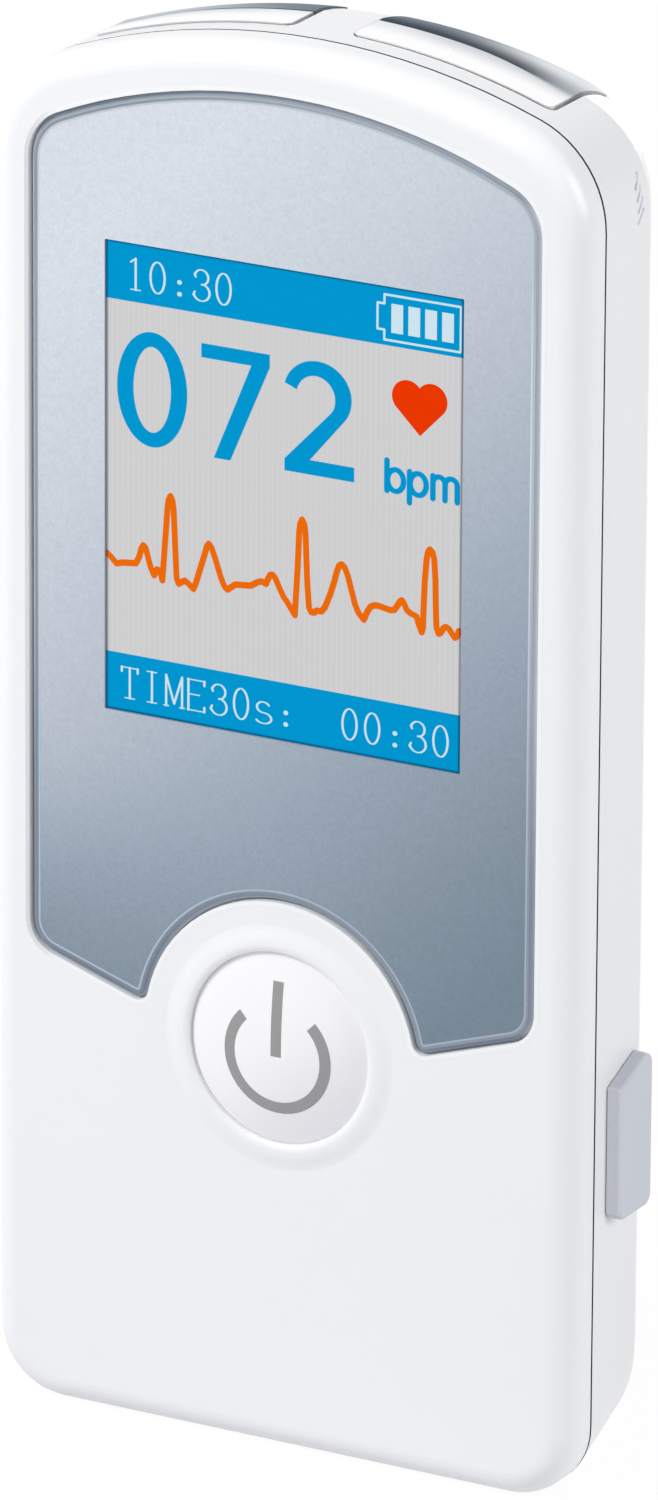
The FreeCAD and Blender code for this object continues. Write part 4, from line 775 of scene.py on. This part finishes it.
def heart_trace():
    """Three beats as an orange line across the screen."""
    first_beat = [
        (-14.15, 33.6), (-13.75, 33.3), (-13.4, 32.95), (-12.95, 33.08), (-11.85, 33.22),
        (-11.6, 33.7), (-11.4, 34.4), (-11.25, 34.62), (-11.08, 34.45), (-10.7, 33.15),
        (-10.42, 32.58), (-10.18, 33.05), (-9.98, 33.0), (-9.76, 32.32), (-9.36, 37.6),
        (-9.28, 38.2), (-9.12, 38.52), (-8.96, 38.2), (-8.88, 37.6), (-8.64, 32.7),
        (-8.48, 32.28), (-8.2, 32.48), (-7.95, 32.6), (-7.7, 32.42), (-7.32, 32.1),
        (-7.12, 32.55), (-6.4, 34.85), (-6.26, 35.35), (-6.1, 35.58), (-5.9, 35.35),
        (-5.6, 34.6), (-5.15, 33.3), (-4.9, 32.75), (-4.65, 32.5), (-4.35, 32.72),
    ]
    second_beat = [
        (-4.0, 32.98), (-2.8, 33.1), (-2.25, 33.45), (-1.95, 33.55), (-1.62, 33.42),
        (-1.48, 33.75), (-1.28, 34.12), (-1.1, 34.18), (-0.9, 34.0), (-0.6, 33.4),
        (-0.25, 32.75), (0.05, 32.4), (0.66, 31.55), (0.86, 35.0), (0.97, 37.6), (1.05, 38.2),
        (1.2, 38.52), (1.37, 38.2), (1.46, 37.6), (1.62, 34.0), (1.76, 32.3), (1.92, 31.98),
        (2.15, 31.98), (2.4, 32.18), (2.72, 32.16), (3.0, 32.5), (3.4, 33.5), (3.7, 34.4),
        (3.92, 35.25), (4.1, 35.7), (4.3, 35.82), (4.52, 35.65), (4.8, 35.0), (5.1, 33.95),
        (5.35, 33.1), (5.62, 32.55), (6.03, 32.12), (6.3, 32.75),
    ]
    third_beat = [
        (6.55, 33.15), (6.85, 33.3), (7.15, 33.32), (8.05, 33.17), (8.38, 33.22), (8.62, 33.55),
        (8.86, 33.95), (9.0, 34.02), (9.14, 33.85), (9.35, 33.4), (9.6, 33.22), (10.12, 33.05),
        (10.3, 32.5), (10.52, 31.98), (10.62, 32.3), (10.67, 34.0), (10.74, 35.7),
        (10.86, 37.25), (10.96, 37.78), (11.12, 38.02), (11.32, 37.85), (11.46, 37.35),
        (11.56, 35.85), (11.6, 34.15), (11.67, 32.5), (11.82, 32.1), (12.0, 32.2),
        (12.2, 32.55), (12.4, 32.68), (12.64, 32.58), (12.9, 32.22), (13.08, 32.02),
        (13.26, 32.15), (13.4, 32.55),
    ]
    line = first_beat + second_beat + third_beat
    strokes("heart_trace", [line], SCREEN_ORANGE, 0.46, 0.46, BAR_DEPTH)


def key_depth(radius_mm):
    """The depth of the keycap's dome at a radius."""
    return KEY_FRONT + KEY_ROUND - math.sqrt(KEY_ROUND ** 2 - radius_mm ** 2)


def power_symbol():
    """The broken ring and upright bar printed on the keycap, in millimetres from its centre."""
    gap = math.radians(90)
    inner, outer = 3.36, 4.2
    centre = Vector((0.05, 0.0, -0.5))
    towards = Vector((math.sin(gap / 2), 0.0, math.cos(gap / 2)))
    bar_half, bar_low, bar_high = 0.41, -0.45, 5.0
    shape = bmesh.new()
    start = shape.verts.new(centre + inner * towards)
    end = shape.verts.new(centre + outer * towards)
    bmesh.ops.subdivide_edges(shape, edges=[shape.edges.new((start, end))], cuts=3)
    bmesh.ops.spin(
        shape, geom=shape.verts[:] + shape.edges[:], cent=centre, axis=(0, 1, 0),
        angle=2 * math.pi - gap, steps=72, use_merge=False,
    )
    bar = bmesh.ops.create_grid(shape, x_segments=4, y_segments=12, size=1.0)["verts"]
    upright = Matrix.Rotation(math.pi / 2, 3, "X")
    bmesh.ops.rotate(shape, verts=bar, cent=(0, 0, 0), matrix=upright)
    bmesh.ops.scale(shape, vec=(bar_half, 1.0, (bar_high - bar_low) / 2), verts=bar)
    bmesh.ops.translate(shape, vec=(centre.x, 0.0, (bar_high + bar_low) / 2), verts=bar)
    for vertex in shape.verts:
        x, z = vertex.co.x, vertex.co.z
        front = depth(key_depth(math.hypot(x, z)) - PRINT_LIFT)
        vertex.co = (x * MM, front, BUTTON_Z + z * MM)
    bmesh.ops.recalc_face_normals(shape, faces=shape.faces)
    bmesh.ops.solidify(shape, geom=shape.faces[:], thickness=PRINT_SKIN * MM)
    finished("power_symbol", mesh_of("power_symbol", shape), SYMBOL_GREY, "power_button")


def key_seal():
    """The thin pale ring in the gap round the keycap, in mm from its centre and the front face."""
    shape = bmesh.new()
    inner, outer, front, back = 6.985, 7.07, 0.12, 0.6
    section = ((inner, front), (outer, front), (outer, back), (inner, back))
    corners = [shape.verts.new((radius * MM, depth(reach), BUTTON_Z)) for radius, reach in section]
    edges = [shape.edges.new(pair) for pair in zip(corners, corners[1:] + corners[:1])]
    bmesh.ops.spin(
        shape, geom=corners + edges, cent=(0, 0, BUTTON_Z), axis=(0, 1, 0),
        angle=2 * math.pi, steps=96, use_merge=True,
    )
    seal = moulded("seal_white", paint(228, 229, 232), 0.5, 0.2, 0.01, 0.01)
    finished("key_seal", mesh_of("key_seal", shape), seal, "case")


def at_opening(vertex):
    """Whether a corner of the face panel lies at its screen opening."""
    at_height = OPENING_LOW * MM < vertex.co.z < OPENING_HIGH * MM
    return at_height and abs(vertex.co.x) < OPENING_HALF * MM


def panel_front():
    """The face panel's flat front as one face, with its opening filled."""
    shape = bmesh.new()
    shape.from_mesh(NODES["face_panel"].data)
    bmesh.ops.remove_doubles(shape, verts=shape.verts, dist=WELD)
    front = depth(PANEL_DEPTH)
    flat = 1e-6  # in metres
    others = [
        face for face in shape.faces
        if any(abs(vertex.co.y - front) > flat for vertex in face.verts)
    ]
    bmesh.ops.delete(shape, geom=others, context="FACES")
    inner = [
        edge for edge in shape.edges
        if not edge.is_boundary or all(at_opening(vertex) for vertex in edge.verts)
    ]
    bmesh.ops.delete(shape, geom=inner, context="EDGES")
    loose = [vertex for vertex in shape.verts if not vertex.link_edges]
    bmesh.ops.delete(shape, geom=loose, context="VERTS")
    bmesh.ops.contextual_create(shape, geom=shape.edges[:])
    bmesh.ops.recalc_face_normals(shape, faces=shape.faces)
    return shape


def band(name, start_mm, width_mm, front_mm, material):
    """A thin band along the face panel's edge; a start below 0 puts it outside the edge."""
    shape = panel_front()
    even = {"use_even_offset": True, "use_boundary": True}
    if start_mm:
        field = shape.faces[:]
        rings = bmesh.ops.inset_region(shape, faces=field, thickness=start_mm * MM, **even)
        bmesh.ops.delete(shape, geom=rings["faces"], context="FACES")
    field = shape.faces[:]
    bmesh.ops.inset_region(shape, faces=field, thickness=width_mm * MM, **even)
    bmesh.ops.delete(shape, geom=field, context="FACES")
    forward = (0.0, depth(front_mm) - depth(PANEL_DEPTH), 0.0)
    bmesh.ops.translate(shape, verts=shape.verts, vec=forward)
    bmesh.ops.recalc_face_normals(shape, faces=shape.faces)
    bmesh.ops.solidify(shape, geom=shape.faces[:], thickness=BAND_SKIN * MM)
    finished(name, mesh_of(name, shape), material, "case")


def panel_bands():
    """The panel's lacquered rim in painted shade, its bright inner line a painted highlight, and
    the case's eased lip round it.
    """
    proud = 0.01  # how far the bands stand out, in mm
    rim_width, line_width = 0.21, 0.14
    lip_start, lip_width = -0.78, 0.3
    # The rim's colours are painted shade, darker low down and on the left; the line's are a
    # painted highlight.
    rim = rim_light_and_shade(
        "rim_light_and_shade",
        (paint(119, 133, 148), paint(137, 147, 163)),
        (paint(144, 155, 167), paint(177, 188, 198)),
    )
    bright = rim_light_and_shade(
        "highlight_lacquer",
        (paint(176, 189, 203), paint(164, 176, 192)),
        (paint(207, 214, 224), paint(205, 213, 223)),
    )
    front = PANEL_DEPTH - proud
    band("panel_rim", 0.0, rim_width, front, rim)
    band("panel_rim_highlight", rim_width, line_width, front, bright)
    band("recess_lip", lip_start, lip_width, -proud, lip_white("lip_white"))


def slot_meshes():
    """The pale mesh that fills each sound slot just under the case's surface."""
    shape = bmesh.new()
    shoulder, shoulder_x, shoulder_z = 7.7, 15.35, 91.58  # the case's upper corner
    middle_z, pitch, slot_y = 92.7, 0.8, -0.8
    size, sunk = Vector((0.5, 0.29, 1.28)), 0.31
    slant = Matrix.Rotation(math.radians(-40), 3, "X")
    for step in (-1.5, -0.5, 0.5, 1.5):
        height = middle_z + pitch * step
        side = shoulder_x + math.sqrt(shoulder ** 2 - max(0.0, height - shoulder_z) ** 2)
        made = bmesh.ops.create_cube(shape, size=1.0)["verts"]
        bmesh.ops.scale(shape, vec=size * MM, verts=made)
        edges = list({edge for vertex in made for edge in vertex.link_edges})
        bmesh.ops.rotate(shape, verts=made, cent=(0, 0, 0), matrix=slant)
        bmesh.ops.translate(shape, vec=Vector((side - sunk, slot_y, height)) * MM, verts=made)
        bmesh.ops.bevel(
            shape, geom=edges, offset=0.04 * MM, segments=1, profile=0.5, affect="EDGES",
            material=-1,
        )
    mesh_grey = moulded("mesh_grey", paint(226, 227, 235), 0.6)
    finished("slot_meshes", mesh_of("slot_meshes", shape), mesh_grey, "case")


screen_ground()
small_lettering()
battery_sign()
big_figures()
heart_sign()
unit_lettering()
heart_trace()
power_symbol()
key_seal()
panel_bands()
slot_meshes()


# ------------------------------------------------------------------ floor, light and camera

WHITE = (1, 1, 1, 1)
AMBIENT = 0.36  # strength of the sky's light on things
FLOOR_HALF = 6.0  # in metres
FLOOR_DROP = 0.02  # below the case's base, in mm
LAMP_TARGET = Vector((0.0, 0.0, 0.05))
EYE = (0.414476, -0.756602, 0.351417)
TURN, TILT, ROLL = 28.78, 70.69, 0.33  # of the camera, in degrees


def white_ground():
    """A pale floor that looks white and still keeps the shadow."""
    finish = Finish("studio_floor")
    matt = finish.node("BsdfDiffuse", inputs={"Color": paint(221, 221, 223)})
    bright = finish.node("Emission", inputs={"Color": WHITE, "Strength": 1.03})
    share = 0.93 * seen_directly(finish)
    mixed = finish.node("MixShader", inputs={0: share, 1: matt, 2: bright})
    finish.node("OutputMaterial", inputs={"Surface": mixed})
    return finish.material


def seen_directly(finish):
    """1 for what the eye, a mirror or a window shows, and 0 for the light that falls on things."""
    seen = finish.node("LightPath", output="Is Camera Ray")
    for kind in ("Is Glossy Ray", "Is Transmission Ray"):
        seen = seen.at_least(finish.node("LightPath", output=kind))
    return seen


floor_shape = bmesh.new()
bmesh.ops.create_grid(floor_shape, x_segments=1, y_segments=1, size=FLOOR_HALF)
bmesh.ops.translate(floor_shape, verts=floor_shape.verts, vec=(0, 0, -FLOOR_DROP * MM))
floor = bpy.data.objects.new("floor", mesh_of("floor", floor_shape))
bpy.context.scene.collection.objects.link(floor)
floor.data.materials.append(white_ground())

world = bpy.data.worlds.new("studio")
sky = Finish("sky", world)
brightness = AMBIENT + (1 - AMBIENT) * seen_directly(sky)
background = sky.node("Background", inputs={"Color": WHITE, "Strength": brightness})
sky.node("OutputWorld", inputs={"Surface": background})
bpy.context.scene.world = world


def softbox(name, place, size, watts):
    """A square lamp that faces the middle of the case."""
    lamp = bpy.data.lights.new(name, "AREA")
    lamp.energy = watts
    lamp.size = size
    holder = bpy.data.objects.new(name, lamp)
    holder.location = place
    aim = LAMP_TARGET - Vector(place)
    holder.rotation_euler = aim.to_track_quat("-Z", "Y").to_euler()
    bpy.context.scene.collection.objects.link(holder)


softbox("key_lamp", (-0.345, -0.444, 0.543), 0.35, 4.0)
softbox("side_lamp", (0.84, 0.04, 0.42), 0.5, 3.55)
softbox("back_lamp", (-0.2, 0.85, 0.1), 0.2, 1.7)

camera_data = bpy.data.cameras.new("camera")
camera_data.lens = 316.6
camera_data.sensor_width = 36.0
camera_data.clip_start = 0.05
camera_data.clip_end = 30.0
camera = bpy.data.objects.new("camera", camera_data)
camera.matrix_world = (
    Matrix.Translation(EYE)
    @ Matrix.Rotation(math.radians(TURN), 4, "Z")
    @ Matrix.Rotation(math.radians(TILT), 4, "X")
    @ Matrix.Rotation(math.radians(ROLL), 4, "Z")
)
bpy.context.scene.collection.objects.link(camera)
bpy.context.scene.camera = camera
bpy.context.scene.view_settings.view_transform = "Standard"
